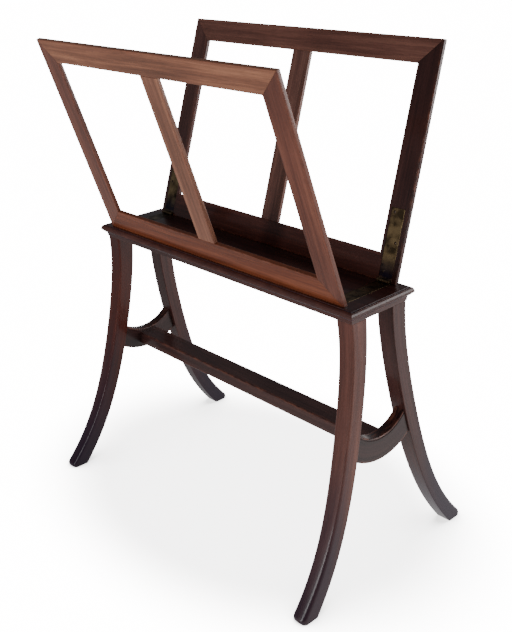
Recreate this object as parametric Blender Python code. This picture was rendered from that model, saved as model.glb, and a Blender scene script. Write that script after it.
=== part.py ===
"""Folio stand: two open frames hinged in a V on a platform with four sabre legs.

Metres, +Z up, the floor at z = 0. X runs along the platform, the front is -Y.
"""
import math

import bmesh
import bpy
import numpy as np
from mathutils import Matrix, Vector

# Clearance left between pieces that touch
GAP = 0.0003

# The two frames, each measured up its own slope
FRAME_LENGTH = 0.780
FRAME_HEIGHT = 0.503
FRAME_THICK = 0.010
STILE_WIDTH = 0.055
TOP_RAIL_WIDTH = 0.053
BOTTOM_RAIL_WIDTH = 0.0565
MUNTIN_WIDTH = 0.0545
FRAME_LEAN = math.radians(18.0)
FOOT_LINE = 0.0701
FRAME_ARRIS = 0.0014
TENON_THICK = 0.004
MUNTIN_TENON = 0.020
MUNTIN_TENON_SHOULDER = 0.008
TONGUE_THICK = 0.003
TONGUE_LENGTH = 0.034
TONGUE_REACH = 0.012

# The platform board with its moulded edge, which the frames' ends and feet stand back from
TABLE_Z = 0.6036
BOARD_THICK = 0.020
BOARD_END_REACH = 0.0241
BOARD_SIDE_REACH = 0.0058
NOSE_OUT = 0.0077
FILLET_DROP = 0.0012
THUMB_DROP = 0.0103
NOSE_DROP = 0.0006
BOARD_UNDERCUT = 0.0087

# The planted moulding and the bearers below the board
BAND_HEIGHT = 0.0100
BAND_WIDTH = 0.0100
BAND_END_INSET = 0.0020
BAND_SIDE_INSET = 0.0030
BAND_SPLAY = 0.0016
BAND_ARRIS = 0.0008
BEARER_WIDTH = 0.035

# The sabre legs. Stations: distance below the platform, spread of the outer edge, depth, width
LEG_STATIONS = (
    (0.0000, 0.0000, 0.0425, 0.0420),
    (0.1433, 0.0066, 0.0374, 0.0404),
    (0.2633, 0.0302, 0.0366, 0.0396),
    (0.3733, 0.0611, 0.0366, 0.0378),
    (0.4733, 0.1046, 0.0386, 0.0356),
    (0.5733, 0.1785, 0.0467, 0.0345),
)
LEG_FACE_INSET = 0.0021
LEG_END_INSET = 0.0019
LEG_CANT = 0.0175
LEG_OUTER_ARRIS = 0.0035
LEG_INNER_ARRIS = 0.0015
LEG_RINGS = 18
TOE_RADIUS = 0.0095
LEG_TENON = (0.016, 0.026)
LEG_TENON_REACH = 0.010

# The hooped cross stretchers at the two ends
HOOP_CENTRE_DROP = 0.2012
HOOP_INNER_RADIUS = 0.0975
HOOP_DEPTH = 0.0505
HOOP_THICK = 0.025
HOOP_RECESS = 0.004
HOOP_BEAD = 0.0050
HOOP_QUIRK = 0.0010
HOOP_ARRIS = 0.0015
HOOP_STEPS = 24
HOOP_TENON = (0.009, 0.026)
HOOP_TENON_REACH = 0.016
HOOP_TENON_DROP = 0.0964
HOOP_SWEEP = math.radians(62.0)

# The long stretcher between the hoops
STRETCHER_HALF_DEPTH = 0.026
STRETCHER_THICK = 0.0294
STRETCHER_DROP = 0.0063
STRETCHER_ARRIS = 0.0025
STRETCHER_TENON = (0.010, 0.030, 0.012)

# The three-leaf strap hinges let in flush at both ends
LEAF_THICK = 0.0020
LEAF_WIDTH = 0.034
LEAF_INSET = 0.012
LEAF_LENGTH = 0.153
KNUCKLE_RADIUS = 0.0032
KNUCKLE_COUNT = 5
KNUCKLE_PLAY = 0.0004
KNUCKLE_SIDES = 16
PIN_SIDES = 12
PIN_RADIUS = 0.0012
PIN_CLEARANCE = 0.0003
PIN_PROUD = 0.0004
SCREW_HEAD_RADIUS = 0.0030
SCREW_HEAD_HEIGHT = 0.0016
SCREW_SHANK_RADIUS = 0.0014
SCREW_LENGTH = 0.0080
SCREW_SLOT = (0.0007, 0.0006)
SCREW_SET = 0.0001
SCREW_SIDES = 14
SCREW_STAGGER = 0.0085
SCREW_FOOT_MARGIN = 0.0185
SCREW_END_MARGIN = 0.0090
SCREW_HINGE_MARGIN = 0.0175
STILE_SCREW_COUNT = 3
TABLE_SCREW_COUNT = 4

# Sizes that follow from the ones above
LEAN_SIN = math.sin(FRAME_LEAN)
LEAN_COS = math.cos(FRAME_LEAN)
BOARD_HALF_X = FRAME_LENGTH / 2 + BOARD_END_REACH
BOARD_HALF_Y = FOOT_LINE + FRAME_THICK / LEAN_COS + BOARD_SIDE_REACH
BOARD_BOTTOM_Z = TABLE_Z - BOARD_THICK
BAND_HALF_X = BOARD_HALF_X - BAND_END_INSET
BAND_HALF_Y = BOARD_HALF_Y - BAND_SIDE_INSET
BAND_TOP_Z = BOARD_BOTTOM_Z - GAP
BAND_BOTTOM_Z = BOARD_BOTTOM_Z - BAND_HEIGHT
LEG_TOP_Z = BAND_BOTTOM_Z - GAP
LEG_TOP_Y = BAND_HALF_Y - LEG_FACE_INSET
LEG_OUTER_X = BAND_HALF_X - LEG_END_INSET
HOOP_CENTRE_Z = TABLE_Z - HOOP_CENTRE_DROP
HOOP_TENON_Z = HOOP_CENTRE_Z - HOOP_TENON_DROP
STRETCHER_TOP_Z = HOOP_CENTRE_Z - HOOP_INNER_RADIUS - STRETCHER_DROP
LEAF_CENTRE_X = FRAME_LENGTH / 2 - LEAF_INSET - LEAF_WIDTH / 2
HOOP_OUTER_X = LEG_OUTER_X - HOOP_RECESS
HOOP_INNER_X = HOOP_OUTER_X - HOOP_THICK
KNUCKLE_OFFSET = KNUCKLE_RADIUS + GAP
HINGE_SETBACK = KNUCKLE_OFFSET * (1 - LEAN_SIN) / LEAN_COS
HINGE_Y = FOOT_LINE - HINGE_SETBACK
HINGE_Z = TABLE_Z + GAP + KNUCKLE_OFFSET

WOOD = (0.16, 0.055, 0.035, 1.0)
BRASS = (0.42, 0.31, 0.13, 1.0)


def material(name, color, metallic, roughness):
    """Return a plain Principled material."""
    mat = bpy.data.materials.new(name)
    mat.use_nodes = True
    shader = mat.node_tree.nodes["Principled BSDF"]
    shader.inputs["Base Color"].default_value = color
    shader.inputs["Metallic"].default_value = metallic
    shader.inputs["Roughness"].default_value = roughness
    mat.diffuse_color = color
    return mat


def wood(name):
    """Return the polished mahogany of one piece."""
    return material(name + "_mahogany", WOOD, 0.0, 0.25)


def brass(name):
    """Return the aged brass of one piece."""
    return material(name + "_brass", BRASS, 1.0, 0.35)


def add_object(name, bm):
    """Close a bmesh into a new object with its faces turned outwards."""
    bmesh.ops.remove_doubles(bm, verts=bm.verts, dist=1e-6)
    bmesh.ops.recalc_face_normals(bm, faces=bm.faces)
    mesh = bpy.data.meshes.new(name)
    bm.to_mesh(mesh)
    bm.free()
    obj = bpy.data.objects.new(name, mesh)
    bpy.context.scene.collection.objects.link(obj)
    return obj


def add_loft(bm, rings):
    """Join rings of points of equal count into one closed body."""
    loops = []
    for ring in rings:
        loops.append([bm.verts.new(point) for point in ring])
    count = len(loops[0])
    for low, high in zip(loops, loops[1:]):
        for i in range(count):
            j = (i + 1) % count
            bm.faces.new((low[i], low[j], high[j], high[i]))
    bm.faces.new(loops[0])
    bm.faces.new(loops[-1])


def add_box(bm, low, high, matrix=None):
    """Add a box between two corners, placed by a matrix if one is given."""
    rings = []
    for z in (low[2], high[2]):
        ring = [(low[0], low[1], z), (high[0], low[1], z), (high[0], high[1], z), (low[0], high[1], z)]
        rings.append([matrix @ Vector(point) if matrix else point for point in ring])
    add_loft(bm, rings)


def round_rect(low, high, radii, steps):
    """Return a rectangle with arcs at its corners, in the order ll, hl, hh, lh."""
    points = []
    corners = ((low[0], low[1]), (high[0], low[1]), (high[0], high[1]), (low[0], high[1]))
    inward = ((1, 1), (-1, 1), (-1, -1), (1, -1))
    for i in range(4):
        radius = radii[i]
        centre = (corners[i][0] + inward[i][0] * radius, corners[i][1] + inward[i][1] * radius)
        start = math.pi + i * math.pi / 2
        for step in range(steps + 1):
            angle = start + step / steps * math.pi / 2
            points.append((centre[0] + radius * math.cos(angle), centre[1] + radius * math.sin(angle)))
    return points


def trim(bm, point, normal):
    """Cut away what lies beyond a plane and close the cut."""
    geometry = bm.verts[:] + bm.edges[:] + bm.faces[:]
    cut = bmesh.ops.bisect_plane(bm, geom=geometry, plane_co=point, plane_no=normal, clear_outer=True)
    edges = [item for item in cut["geom_cut"] if isinstance(item, bmesh.types.BMEdge)]
    bmesh.ops.holes_fill(bm, edges=edges)


def combine(obj, bm, operation):
    """Cut the bodies of a bmesh out of an object, or add them to it."""
    tool = add_object(obj.name + "_tool", bm)
    modifier = obj.modifiers.new("tool", "BOOLEAN")
    modifier.operation = operation
    modifier.solver = "EXACT"
    modifier.use_self = True
    modifier.object = tool
    bpy.context.view_layer.update()
    depsgraph = bpy.context.evaluated_depsgraph_get()
    result = bpy.data.meshes.new_from_object(obj.evaluated_get(depsgraph))
    obj.modifiers.clear()
    old = obj.data
    obj.data = result
    bpy.data.meshes.remove(old)
    bpy.data.objects.remove(tool)
    clean = bmesh.new()
    clean.from_mesh(result)
    bmesh.ops.remove_doubles(clean, verts=clean.verts, dist=2e-6)
    bmesh.ops.dissolve_degenerate(clean, edges=clean.edges, dist=1e-6)
    clean.to_mesh(result)
    clean.free()


def finish(obj, mat, smooth=False):
    """Give an object its material and its shading."""
    obj.data.materials.clear()
    obj.data.materials.append(mat)
    if smooth:
        for polygon in obj.data.polygons:
            polygon.use_smooth = True
        obj.data.set_sharp_from_angle(angle=math.radians(35))


def hang(objects, axis):
    """Hang objects on a joint's empty, keeping their places."""
    for obj in objects:
        obj.data.transform(Matrix.Translation(-axis.location))
        obj.parent = axis


# Frames


def frame_matrix(side):
    """Return the place of a frame: local x along, y up the slope, z outwards."""
    along = Vector((1, 0, 0))
    up = Vector((0, side * LEAN_SIN, LEAN_COS))
    out = Vector((0, side * LEAN_COS, -LEAN_SIN))
    foot = Vector((0, side * FOOT_LINE, TABLE_Z + GAP))
    matrix = Matrix.Identity(4)
    for row in range(3):
        matrix[row] = (along[row], up[row], out[row], foot[row])
    return matrix


def settle(obj, side):
    """Move a piece from a frame's own plane to its place in the stand."""
    matrix = frame_matrix(side)
    obj.data.transform(matrix)
    if matrix.determinant() < 0:
        obj.data.flip_normals()


def trim_foot(bm):
    """Bevel the foot of a frame so that it lies flat on the platform."""
    trim(bm, Vector((0, 0, 0)), Vector((0, -LEAN_COS, LEAN_SIN)))


def mitre(corner_x, corner_y):
    """Return a corner's outer point, the line of its mitre and the way to the rail."""
    rail_width = TOP_RAIL_WIDTH if corner_y > 0 else BOTTOM_RAIL_WIDTH
    y = FRAME_HEIGHT if corner_y > 0 else 0
    outer = Vector((corner_x * FRAME_LENGTH / 2, y, 0))
    across = Vector((-corner_x * STILE_WIDTH, -corner_y * rail_width, 0))
    rail_side = Vector((-corner_x * rail_width, corner_y * STILE_WIDTH, 0)).normalized()
    return outer, across, rail_side


def add_tongues(bm, corners, play):
    """Add the rails' tongues that cross the mitres into the stiles."""
    for corner_x, corner_y in corners:
        outer, across, rail_side = mitre(corner_x, corner_y)
        middle = outer + across / 2 + Vector((0, 0, FRAME_THICK / 2))
        matrix = Matrix.Identity(4)
        along = across.normalized()
        normal = along.cross(rail_side)
        for row in range(3):
            matrix[row] = (along[row], rail_side[row], normal[row], middle[row])
        half = Vector((TONGUE_LENGTH / 2 + play, 0, TONGUE_THICK / 2 + play))
        low = Vector((-half.x, -TONGUE_REACH - play, -half.z))
        high = Vector((half.x, 0.004, half.z))
        add_box(bm, low, high, matrix)


def add_tenons(bm, play):
    """Add the muntin's two tenons, grown by some play."""
    half = MUNTIN_WIDTH / 2 - MUNTIN_TENON_SHOULDER + play
    thick = TENON_THICK / 2 + play
    middle = FRAME_THICK / 2
    top = FRAME_HEIGHT - TOP_RAIL_WIDTH
    for low, high in (
        (BOTTOM_RAIL_WIDTH - MUNTIN_TENON - play, BOTTOM_RAIL_WIDTH + 0.004),
        (top - 0.004, top + MUNTIN_TENON + play),
    ):
        add_box(bm, (-half, low, middle - thick), (half, high, middle + thick))


def add_leaf_beds(bm):
    """Add the shallow beds that take the hinge leaves in a frame."""
    for side in (-1, 1):
        low = side * LEAF_CENTRE_X - LEAF_WIDTH / 2 - GAP
        high = side * LEAF_CENTRE_X + LEAF_WIDTH / 2 + GAP
        add_box(bm, (low, -0.004, -0.004), (high, LEAF_LENGTH + GAP, LEAF_THICK + GAP))


def add_rod(bm, matrix, radii, heights, sides):
    """Add a turned body: radii at heights along local z."""
    rings = []
    for radius, height in zip(radii, heights):
        ring = []
        for i in range(sides):
            angle = 2 * math.pi * (i + 0.5) / sides
            ring.append(matrix @ Vector((radius * math.cos(angle), radius * math.sin(angle), height)))
        rings.append(ring)
    add_loft(bm, rings)


def add_screw_holes(bm, matrices):
    """Add the clearance holes of the screws in the wood."""
    for matrix in matrices:
        radius = SCREW_SHANK_RADIUS + GAP
        add_rod(bm, matrix, (radius, radius), (0.0, -SCREW_LENGTH - GAP), SCREW_SIDES)


def add_countersinks(bm, matrices):
    """Add the countersunk holes of the screws in the leaves."""
    head = SCREW_HEAD_RADIUS + GAP
    shank = SCREW_SHANK_RADIUS + GAP
    slope = (SCREW_HEAD_RADIUS - SCREW_SHANK_RADIUS) / SCREW_HEAD_HEIGHT
    above = 0.001
    for matrix in matrices:
        radii = (head + above * slope, shank, shank)
        heights = (above, -SCREW_HEAD_HEIGHT, -LEAF_THICK - above)
        add_rod(bm, matrix, radii, heights, SCREW_SIDES)


def make_screw(name, matrix, turn):
    """Build one slotted countersunk screw, its slot turned by an angle."""
    bm = bmesh.new()
    radii = (SCREW_HEAD_RADIUS, SCREW_SHANK_RADIUS, SCREW_SHANK_RADIUS * 0.6)
    heights = (-SCREW_SET, -SCREW_HEAD_HEIGHT, -SCREW_LENGTH)
    add_rod(bm, matrix, radii, heights, SCREW_SIDES)
    obj = add_object(name, bm)
    slot = bmesh.new()
    reach = SCREW_HEAD_RADIUS + 0.001
    width, depth = SCREW_SLOT
    place = matrix @ Matrix.Rotation(turn, 4, "Z")
    add_box(slot, (-reach, -width / 2, -SCREW_SET - depth), (reach, width / 2, 0.001), place)
    combine(obj, slot, "DIFFERENCE")
    finish(obj, brass(name))
    return obj


def stile_screw_places(end):
    """Return where a stile leaf's screws stand on the frame: local z points out of the wood."""
    matrices = []
    low = HINGE_SETBACK + SCREW_FOOT_MARGIN
    for i, up in enumerate(np.linspace(low, LEAF_LENGTH - SCREW_END_MARGIN, STILE_SCREW_COUNT)):
        x = end * (LEAF_CENTRE_X + (SCREW_STAGGER if i % 2 else -SCREW_STAGGER))
        matrices.append(Matrix.Translation((x, up, 0)) @ Matrix.Rotation(math.pi, 4, "X"))
    return matrices


def table_screw_matrices(end):
    """Return the places of the screws in a platform leaf."""
    matrices = []
    reach = HINGE_Y - SCREW_HINGE_MARGIN
    for i, y in enumerate(np.linspace(-reach, reach, TABLE_SCREW_COUNT)):
        x = end * (LEAF_CENTRE_X + (SCREW_STAGGER if i % 2 else -SCREW_STAGGER))
        matrices.append(Matrix.Translation((x, y, TABLE_Z)))
    return matrices


def make_member(name, side, low, high, along_x, corners):
    """Build one member of a frame from its rectangle, mitred at the corners."""
    bm = bmesh.new()
    radii = [FRAME_ARRIS] * 4
    reach = 0.001
    if along_x:
        section = round_rect((low[1], 0), (high[1], FRAME_THICK), radii, 3)
        rings = [[(x, v, d) for v, d in section] for x in (low[0] - reach, high[0] + reach)]
    else:
        section = round_rect((low[0], 0), (high[0], FRAME_THICK), radii, 3)
        rings = [[(u, y, d) for u, d in section] for y in (low[1] - reach, high[1] + reach)]
    add_loft(bm, rings)
    for corner_x, corner_y in corners:
        outer, _, rail_side = mitre(corner_x, corner_y)
        keep = rail_side if along_x else -rail_side
        trim(bm, outer + keep * GAP / 2, -keep)
    at_foot = any(corner_y < 0 for _, corner_y in corners)
    if at_foot:
        trim_foot(bm)
    obj = add_object(name, bm)
    if along_x:
        tongues = bmesh.new()
        add_tongues(tongues, corners, 0)
        combine(obj, tongues, "UNION")
        mortises = bmesh.new()
        add_tenons(mortises, GAP)
        combine(obj, mortises, "DIFFERENCE")
    else:
        slots = bmesh.new()
        add_tongues(slots, corners, GAP)
        combine(obj, slots, "DIFFERENCE")
    if at_foot:
        beds = bmesh.new()
        add_leaf_beds(beds)
        combine(obj, beds, "DIFFERENCE")
        holes = bmesh.new()
        for end in (-1, 1):
            add_screw_holes(holes, stile_screw_places(end))
        combine(obj, holes, "DIFFERENCE")
    settle(obj, side)
    finish(obj, wood(name))
    return obj


def make_muntin(name, side):
    """Build the upright bar in the middle of a frame with its tenons."""
    bm = bmesh.new()
    half = MUNTIN_WIDTH / 2
    section = round_rect((-half, 0), (half, FRAME_THICK), [FRAME_ARRIS] * 4, 3)
    low = BOTTOM_RAIL_WIDTH + GAP
    high = FRAME_HEIGHT - TOP_RAIL_WIDTH - GAP
    add_loft(bm, [[(u, y, d) for u, d in section] for y in (low, high)])
    obj = add_object(name, bm)
    tenons = bmesh.new()
    add_tenons(tenons, 0)
    combine(obj, tenons, "UNION")
    settle(obj, side)
    finish(obj, wood(name))
    return obj


def knuckle_slabs(side, centre_leaf):
    """Return the x ranges of a leaf's knuckles."""
    width = (LEAF_WIDTH - (KNUCKLE_COUNT - 1) * KNUCKLE_PLAY) / KNUCKLE_COUNT
    start = side * LEAF_CENTRE_X - LEAF_WIDTH / 2
    first = 0 if centre_leaf else 1
    slabs = []
    for i in range(first, KNUCKLE_COUNT, 2):
        low = start + i * (width + KNUCKLE_PLAY)
        slabs.append((low, low + width))
    return slabs


def x_rod(x, y, z):
    """Return the place of a rod whose local z runs along world x."""
    return Matrix.Translation((x, y, z)) @ Matrix.Rotation(math.pi / 2, 4, "Y")


def add_knuckles(obj, slabs, axis_places, web_facing):
    """Join knuckles and their webs to a leaf plate, then bore them."""
    for y, z, direction in axis_places:
        rods = bmesh.new()
        webs = bmesh.new()
        for low, high in slabs:
            length = high - low
            add_rod(rods, x_rod(low, y, z), (KNUCKLE_RADIUS,) * 2, (0, length), KNUCKLE_SIDES)
            web_low = Vector((low, 0, -KNUCKLE_OFFSET - LEAF_THICK / 2))
            web_high = Vector((high, KNUCKLE_RADIUS * 0.9, 0))
            turn = Matrix.Diagonal((1, direction, web_facing, 1))
            add_box(webs, web_low, web_high, Matrix.Translation((0, y, z)) @ turn)
        combine(obj, rods, "UNION")
        combine(obj, webs, "UNION")
    bores = bmesh.new()
    for y, z, _ in axis_places:
        for low, high in slabs:
            radius = PIN_RADIUS + PIN_CLEARANCE
            add_rod(bores, x_rod(low - 0.001, y, z), (radius,) * 2, (0, high - low + 0.002), PIN_SIDES)
    combine(obj, bores, "DIFFERENCE")


def make_stile_leaf(name, side, end):
    """Build the leaf let into a stile, with its two knuckles, in the frame's own plane."""
    bm = bmesh.new()
    low = end * LEAF_CENTRE_X - LEAF_WIDTH / 2
    high = end * LEAF_CENTRE_X + LEAF_WIDTH / 2
    add_box(bm, (low, HINGE_SETBACK, 0), (high, LEAF_LENGTH, LEAF_THICK))
    obj = add_object(name, bm)
    add_knuckles(obj, knuckle_slabs(end, False), [(HINGE_SETBACK, -KNUCKLE_OFFSET, 1)], -1)
    holes = bmesh.new()
    add_countersinks(holes, stile_screw_places(end))
    combine(obj, holes, "DIFFERENCE")
    settle(obj, side)
    finish(obj, brass(name), smooth=True)
    return obj


def make_table_leaf(name, end):
    """Build the middle leaf let into the platform, with knuckles at both ends."""
    bm = bmesh.new()
    low = end * LEAF_CENTRE_X - LEAF_WIDTH / 2
    high = end * LEAF_CENTRE_X + LEAF_WIDTH / 2
    add_box(bm, (low, -HINGE_Y, TABLE_Z - LEAF_THICK), (high, HINGE_Y, TABLE_Z))
    obj = add_object(name, bm)
    places = [(side * HINGE_Y, HINGE_Z, -side) for side in (-1, 1)]
    add_knuckles(obj, knuckle_slabs(end, True), places, 1)
    holes = bmesh.new()
    add_countersinks(holes, table_screw_matrices(end))
    combine(obj, holes, "DIFFERENCE")
    finish(obj, brass(name), smooth=True)
    return obj


def make_pin(name, side, end):
    """Build the pin of one hinge joint."""
    bm = bmesh.new()
    start = end * LEAF_CENTRE_X - LEAF_WIDTH / 2 - PIN_PROUD
    place = x_rod(start, side * HINGE_Y, HINGE_Z)
    add_rod(bm, place, (PIN_RADIUS,) * 2, (0, LEAF_WIDTH + 2 * PIN_PROUD), PIN_SIDES)
    obj = add_object(name, bm)
    finish(obj, brass(name), smooth=True)
    return obj


# Platform


def board_profile():
    """Return the edge of the board as (out, z), from the underside to the top."""
    nose_low = FILLET_DROP + THUMB_DROP + NOSE_DROP
    points = [(NOSE_OUT - BOARD_UNDERCUT, BOARD_THICK), (NOSE_OUT, nose_low)]
    top = FILLET_DROP
    for step in range(9):
        angle = step / 8 * math.pi / 2
        out = 0.0012 + (NOSE_OUT - 0.0012) * math.cos(angle)
        points.append((out, top + THUMB_DROP * (1 - math.sin(angle))))
    points.append((0.0003, FILLET_DROP))
    points.append((0.0003, 0.0003))
    points.append((0.0, 0.0))
    return [(out, TABLE_Z - drop) for out, drop in points]


def make_board():
    """Build the platform board with its moulded edge, mortises and leaf beds."""
    bm = bmesh.new()
    rings = []
    for out, z in board_profile():
        x = BOARD_HALF_X + out
        y = BOARD_HALF_Y + out
        rings.append([(-x, -y, z), (x, -y, z), (x, y, z), (-x, y, z)])
    add_loft(bm, rings)
    obj = add_object("platform_board", bm)
    cuts = bmesh.new()
    for end in (-1, 1):
        low = end * LEAF_CENTRE_X - LEAF_WIDTH / 2 - GAP
        high = end * LEAF_CENTRE_X + LEAF_WIDTH / 2 + GAP
        depth = TABLE_Z - LEAF_THICK - GAP
        add_box(cuts, (low, -HINGE_Y - GAP, depth), (high, HINGE_Y + GAP, TABLE_Z + 0.002))
    add_leg_tenons(cuts, GAP, BOARD_BOTTOM_Z - 0.002)
    combine(obj, cuts, "DIFFERENCE")
    holes = bmesh.new()
    for end in (-1, 1):
        add_screw_holes(holes, table_screw_matrices(end))
    combine(obj, holes, "DIFFERENCE")
    finish(obj, wood("platform_board"), smooth=True)
    return obj


def add_leg_tenons(bm, play, bottom):
    """Add the bodies of the four leg tenons, grown by some play."""
    top = BOARD_BOTTOM_Z + LEG_TENON_REACH + play
    for end in (-1, 1):
        for side in (-1, 1):
            low, high = leg_tenon_box(end, side, play)
            add_box(bm, (low[0], low[1], bottom), (high[0], high[1], top))


def leg_tenon_box(end, side, play):
    """Return the plan rectangle of one leg tenon."""
    outer, inner = leg_edges(LEG_TOP_Z)
    x = end * (BAND_HALF_X - BAND_WIDTH - GAP - BEARER_WIDTH / 2)
    y = side * (min(outer, BAND_HALF_Y - BAND_WIDTH) + inner) / 2
    half = (LEG_TENON[0] / 2 + play, LEG_TENON[1] / 2 + play)
    return (x - half[0], y - half[1]), (x + half[0], y + half[1])


def make_band(name, axis, direction):
    """Build one mitred strip of the moulding planted below the board."""
    outer, length = (BAND_HALF_X, BAND_HALF_Y) if axis == 0 else (BAND_HALF_Y, BAND_HALF_X)
    low = (outer - BAND_WIDTH, BAND_BOTTOM_Z)
    section = round_rect(low, (outer, BAND_TOP_Z), [0.0004, BAND_ARRIS, 0.0004, 0.0004], 3)
    rings = []
    for end in (-1, 1):
        ring = []
        for out, z in section:
            if out > outer - BAND_WIDTH / 2:
                out -= BAND_SPLAY * (BAND_TOP_Z - z) / BAND_HEIGHT
            along = end * (length - (outer - out) - GAP / 2)
            point = (direction * out, along) if axis == 0 else (along, direction * out)
            ring.append((point[0], point[1], z))
        rings.append(ring)
    bm = bmesh.new()
    add_loft(bm, rings)
    obj = add_object(name, bm)
    finish(obj, wood(name), smooth=True)
    return obj


def make_bearer(name, end):
    """Build the cross bearer that takes the leg tenons below the board."""
    bm = bmesh.new()
    outer = BAND_HALF_X - BAND_WIDTH - GAP
    x = sorted((end * outer, end * (outer - BEARER_WIDTH)))
    y = BAND_HALF_Y - BAND_WIDTH - GAP
    add_box(bm, (x[0], -y, BAND_BOTTOM_Z), (x[1], y, BAND_TOP_Z))
    obj = add_object(name, bm)
    cuts = bmesh.new()
    add_leg_tenons(cuts, GAP, BAND_BOTTOM_Z - 0.002)
    combine(obj, cuts, "DIFFERENCE")
    finish(obj, wood(name))
    return obj


# Legs and stretchers


def leg_curve(column, z):
    """Return one column of the leg stations as a smooth curve, at a height."""
    drops = [station[0] for station in LEG_STATIONS]
    values = [station[column] for station in LEG_STATIONS]
    return float(np.polyval(np.polyfit(drops, values, 4), LEG_TOP_Z - z))


def leg_edges(z):
    """Return the outer and inner edge of a leg at a height, from the middle plane."""
    outer = LEG_TOP_Y + leg_curve(1, z)
    inner = outer - leg_curve(2, z)
    if z < TOE_RADIUS:
        outer -= TOE_RADIUS - math.sqrt(TOE_RADIUS ** 2 - (TOE_RADIUS - z) ** 2)
    return outer, inner


def cant(obj, end):
    """Lean an end assembly outwards towards the floor."""
    for vertex in obj.data.vertices:
        share = max(0.0, 1 - vertex.co.z / LEG_TOP_Z)
        vertex.co.x += end * LEG_CANT * share


def leg_body(bm, end, side):
    """Add the curved body of one leg with its tenon."""
    toe = [TOE_RADIUS * (1 - math.cos(step / 4 * math.pi / 2)) for step in range(4)]
    heights = toe + list(np.linspace(TOE_RADIUS, LEG_TOP_Z, LEG_RINGS))
    radii = [LEG_INNER_ARRIS, LEG_INNER_ARRIS, LEG_OUTER_ARRIS, LEG_OUTER_ARRIS]
    rings = []
    for z in heights:
        outer, inner = leg_edges(z)
        x = sorted((end * LEG_OUTER_X, end * (LEG_OUTER_X - leg_curve(3, z))))
        section = round_rect((x[0], inner), (x[1], outer), radii, 3)
        rings.append([(across, side * out, z) for across, out in section])
    tenon_low, tenon_high = leg_tenon_box(end, side, 0)
    span = sorted((side * tenon_low[1], side * tenon_high[1]))
    section = round_rect((tenon_low[0], span[0]), (tenon_high[0], span[1]), [0.001] * 4, 3)
    for z in (LEG_TOP_Z, BOARD_BOTTOM_Z + LEG_TENON_REACH):
        rings.append([(x, side * out, z) for x, out in section])
    add_loft(bm, rings)


def add_hoop_tenons(bm, end, sides, play):
    """Add the tenons of a hoop that enter the legs, grown by some play."""
    x = end * (HOOP_OUTER_X + HOOP_INNER_X) / 2
    half = (HOOP_TENON[0] / 2 + play, HOOP_TENON[1] / 2 + play)
    _, inner = leg_edges(HOOP_TENON_Z)
    for side in sides:
        y = sorted((side * (inner - 0.012), side * (inner + HOOP_TENON_REACH + play)))
        low = (x - half[0], y[0], HOOP_TENON_Z - half[1])
        high = (x + half[0], y[1], HOOP_TENON_Z + half[1])
        add_box(bm, low, high)


def make_leg(name, end, side):
    """Build one sabre leg with its tenon and the hoop's mortise."""
    bm = bmesh.new()
    leg_body(bm, end, side)
    obj = add_object(name, bm)
    cuts = bmesh.new()
    add_hoop_tenons(cuts, end, [side], GAP)
    combine(obj, cuts, "DIFFERENCE")
    cant(obj, end)
    finish(obj, wood(name), smooth=True)
    return obj


def hoop_section():
    """Return a hoop's section as (x from the inner face, radius)."""
    points = []
    low = HOOP_INNER_RADIUS
    high = HOOP_INNER_RADIUS + HOOP_DEPTH
    bead = HOOP_BEAD / 2
    for corner in (0, 1):
        angle = math.pi + corner * math.pi / 2
        radius = HOOP_ARRIS if corner == 0 else bead
        x = radius if corner == 0 else HOOP_THICK - radius
        for step in range(5):
            turn = angle + step / 4 * math.pi / 2
            points.append((x + radius * math.cos(turn), low + radius + radius * math.sin(turn)))
    for step in range(1, 4):
        turn = step / 4 * math.pi / 2
        points.append((HOOP_THICK - bead + bead * math.cos(turn), low + bead + bead * math.sin(turn)))
    quirk = low + HOOP_BEAD + HOOP_QUIRK / 2
    points.append((HOOP_THICK - HOOP_QUIRK, low + HOOP_BEAD - HOOP_QUIRK / 4))
    points.append((HOOP_THICK - HOOP_QUIRK, quirk))
    points.append((HOOP_THICK, quirk + HOOP_QUIRK / 4))
    for corner in (2, 3):
        x = HOOP_THICK - HOOP_ARRIS if corner == 2 else HOOP_ARRIS
        for step in range(4):
            turn = (corner - 2) * math.pi / 2 + step / 3 * math.pi / 2
            points.append((x + HOOP_ARRIS * math.cos(turn), high - HOOP_ARRIS + HOOP_ARRIS * math.sin(turn)))
    return points


def stretcher_tenon(end, play):
    """Return the box of the long stretcher's tenon at one end."""
    thick, width, reach = STRETCHER_TENON
    middle = STRETCHER_TOP_Z - STRETCHER_THICK / 2
    x = sorted((end * (HOOP_INNER_X - 0.004), end * (HOOP_INNER_X + reach + play)))
    low = (x[0], -width / 2 - play, middle - thick / 2 - play)
    high = (x[1], width / 2 + play, middle + thick / 2 + play)
    return low, high


def make_hoop(name, end):
    """Build the hooped cross stretcher of one end with its tenons."""
    bm = bmesh.new()
    rings = []
    for step in range(HOOP_STEPS + 1):
        angle = HOOP_SWEEP * (2 * step / HOOP_STEPS - 1)
        ring = []
        for x, radius in hoop_section():
            y = radius * math.sin(angle)
            z = HOOP_CENTRE_Z - radius * math.cos(angle)
            ring.append((end * (HOOP_INNER_X + x), y, z))
        rings.append(ring)
    add_loft(bm, rings)
    obj = add_object(name, bm)
    for side in (-1, 1):
        cuts = bmesh.new()
        hoop_shoulder(cuts, end, side)
        combine(obj, cuts, "DIFFERENCE")
    tenons = bmesh.new()
    add_hoop_tenons(tenons, end, (-1, 1), 0)
    combine(obj, tenons, "UNION")
    mortise = bmesh.new()
    low, high = stretcher_tenon(end, GAP)
    add_box(mortise, low, high)
    combine(obj, mortise, "DIFFERENCE")
    cant(obj, end)
    finish(obj, wood(name), smooth=True)
    return obj


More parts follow.
